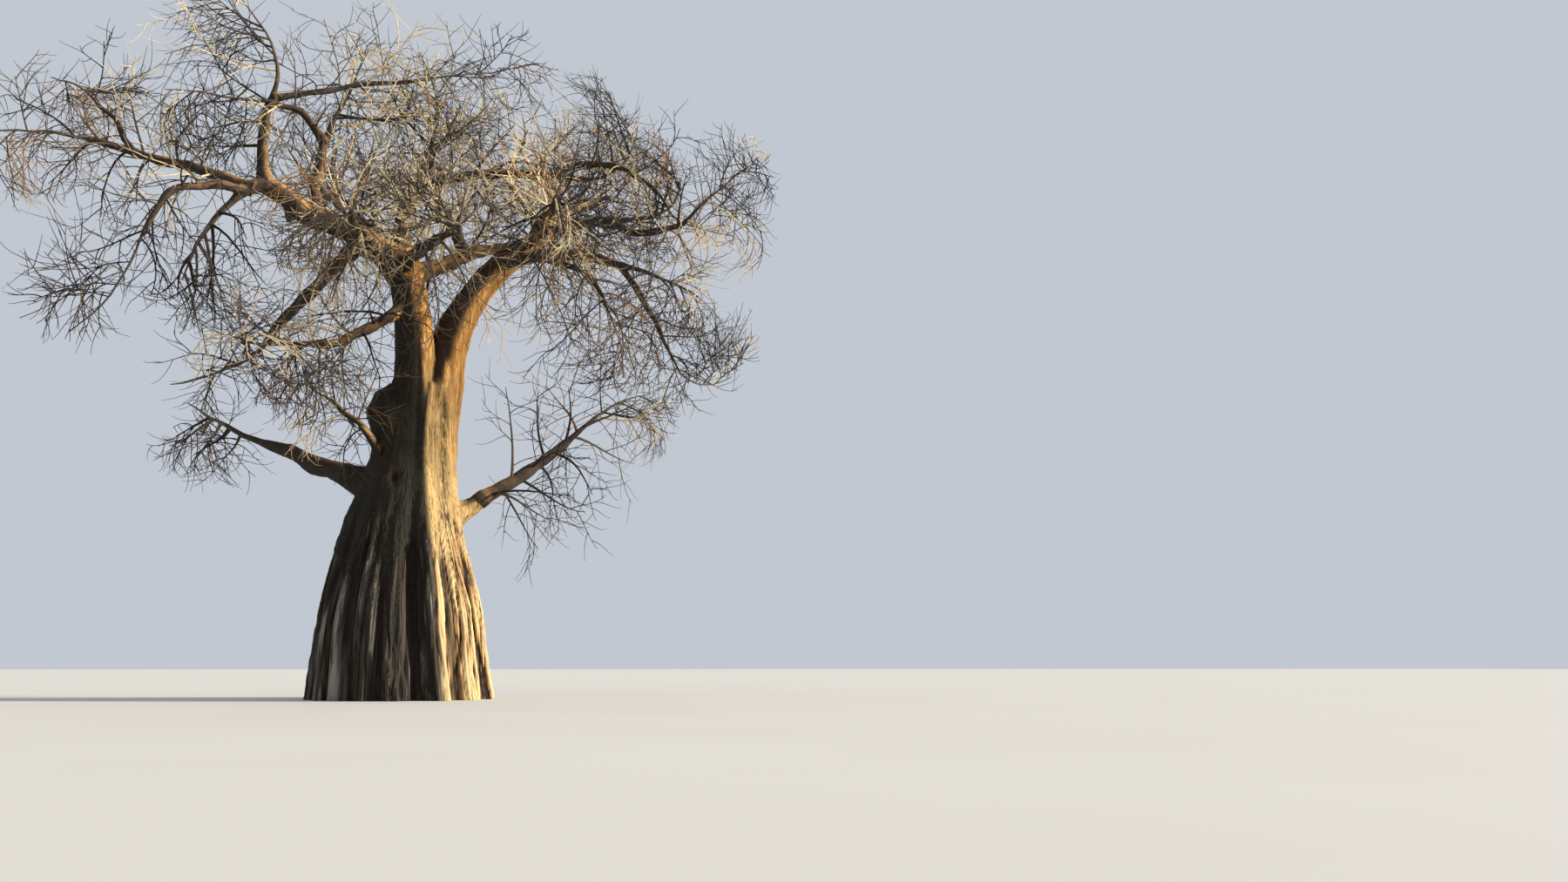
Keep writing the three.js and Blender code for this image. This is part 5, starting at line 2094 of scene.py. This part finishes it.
    def _grow_finer(
        self, region: Region, place: Array, branches: Sprigs, twigs: Sprigs,
        room: Room | Overlap, near: Pieces,
    ) -> None:
        """Grow twigs on branches and whips on both, and add all of them to a region.

        Args:
            region: The region.
            place: The middle of it all, which says how full it gets.
            branches: The branches.
            twigs: The twigs that they have already.
            room: Where all of it stays.
            near: The pieces of limbs that it keeps clear of.
        """
        rule = self._fuller(self.more_twigs, self.more_twigs.count, place)
        full = np.minimum(branches.lengths * rule.reach, rule.longest)
        more = sprout(branches, rule, full, rule.lift, self.twig_radii, room, near)
        twigs = twigs.joined(more)
        full = np.minimum(twigs.lengths * self.whips.reach, self.whips.longest)
        whips = sprout(twigs, self.whips, full, self.whips.lift, self.whip_radii, room, near)
        strands = self.strands[region]
        strands.add_all(branches, True)
        strands.add_all(twigs, False)
        strands.add_all(whips, False)

    def _grow_on_bough(self, limb: Limb, seed: int, region: Region) -> None:
        """Grow twigs and whips along a bough."""
        line = curved(self.skeleton.routes[limb.name][None], self.bough_points)
        middle = line[0, self.bough_points // 2]
        seeds, tones = np.array([seed * self.bough_seed_stride]), np.array([Tone.STONE.number])
        bough = Sprigs(line, seeds, np.array([limb.length]), np.zeros((1, 2)), tones)
        near = self._limbs_near(line[0].mean(axis=0), limb.length / 2 + self.bough_surroundings)
        rule = self._fuller(self.bough_branches, limb.length * self.branches_per_metre, middle)
        full = np.clip([limb.length * self.bough_branch_reach], *self.bough_branch_lengths)
        radii = (min(self.bough_branch_foot, limb.girth[1] / 2), self.branch_tip)
        branches = sprout(bough, rule, full, rule.lift, radii, self.room, near)
        branches.tones = self._tones(branches.lines[:, self.tone_point], branches.seeds)
        none = branches.chosen(np.zeros(0, int))
        self._grow_finer(region, middle, branches, none, self.room, near)

    def _limbs_near(self, middle: Array, reach: float) -> Pieces:
        """Return the limbs' pieces that come near a place."""
        away = np.linalg.norm((self.limb_pieces.start + self.limb_pieces.end) / 2 - middle, axis=1)
        close = away < reach + self.skeleton.step
        if not close.any():
            close = away == away.min()
        return self.limb_pieces.chosen(close)

    def build(self) -> list[bpy.types.Object]:
        """Return the finished pieces."""
        materials = [TwigBark(tone).material() for tone in Tone]
        made = []
        for region, strands in self.strands.items():
            thing = strands.tubes("twigs_of_" + region.value, self.tube_sides, THIN_SIDES, materials)
            dress(thing, [mass.name for mass in MASSES if mass.region is region])
            made.append(thing)
        return made


# The studio


@dataclass
class Studio:
    """A pale floor and sky, one soft key light, and the camera where the photo was taken from."""

    floor_half: float = 500.0
    distance: float = 39.0
    eye_height: float = 0.948
    pitch: float = 10.501
    yaw: float = 17.023
    lens: float = 28.0
    film: float = 36.0
    key_from: Span = (-16.0, 20.0)
    key_strength: float = 6.6
    key_angle: float = 4.0
    key_colour: Rgb = (1.0, 0.92, 0.8)
    sky_colour: Rgb = (0.84, 0.9, 1.0)
    sky_strength: float = 0.64

    def build(self) -> None:
        """Put everything in place."""
        self._lay_floor()
        self._hang_key()
        self._paint_sky()
        self._set_camera()

    def _lay_floor(self) -> None:
        """Lay the floor at the height of the flat cut."""
        reach = self.floor_half
        corners = np.array([(-reach, -reach, 0), (reach, -reach, 0), (reach, reach, 0), (-reach, reach, 0)])
        floor = mesh_object("studio_floor", corners, [], [(0, 1, 2, 3)])
        floor.data.materials.append(FloorFinish().material())

    def _hang_key(self) -> None:
        """Hang a soft key light on the right."""
        lamp = bpy.data.lights.new("key_light", "SUN")
        lamp.energy = self.key_strength
        lamp.angle = math.radians(self.key_angle)
        lamp.color = self.key_colour
        thing = bpy.data.objects.new("key_light", lamp)
        azimuth, climb = self.key_from
        thing.rotation_euler = (math.radians(90 - climb), 0, math.radians(azimuth + 90))
        bpy.context.scene.collection.objects.link(thing)

    def _paint_sky(self) -> None:
        """Give the world one pale colour."""
        world = bpy.data.worlds.new("studio_sky")
        world.use_nodes = True
        graph = Graph(world.node_tree)
        inputs = {"Color": (*self.sky_colour, 1), "Strength": self.sky_strength}
        sky = graph.node("ShaderNodeBackground", {}, inputs)
        graph.node("ShaderNodeOutputWorld", {}, {"Surface": sky})
        bpy.context.scene.world = world
        bpy.context.scene.view_settings.view_transform = "Standard"

    def _set_camera(self) -> None:
        """Stand the camera where the photo was taken from."""
        lens = bpy.data.cameras.new("camera")
        lens.lens = self.lens
        lens.sensor_width = self.film
        lens.clip_end = 4 * self.floor_half
        thing = bpy.data.objects.new("camera", lens)
        thing.location = (0, -self.distance, self.eye_height)
        thing.rotation_euler = (math.radians(90 + self.pitch), 0, math.radians(-self.yaw))
        bpy.context.scene.collection.objects.link(thing)
        bpy.context.scene.camera = thing


def main() -> None:
    """Build the tree and the studio."""
    logging.basicConfig(level=logging.INFO, format="%(message)s")
    skeleton = Skeleton(TrunkForm())
    TrunkSkin(skeleton, TrunkBark()).build()
    crown = Crown(skeleton)
    BoughSkins(skeleton, BoughBark(), crown.stems).build()
    crown.build()
    Studio().build()


if __name__ == "__main__":
    main()
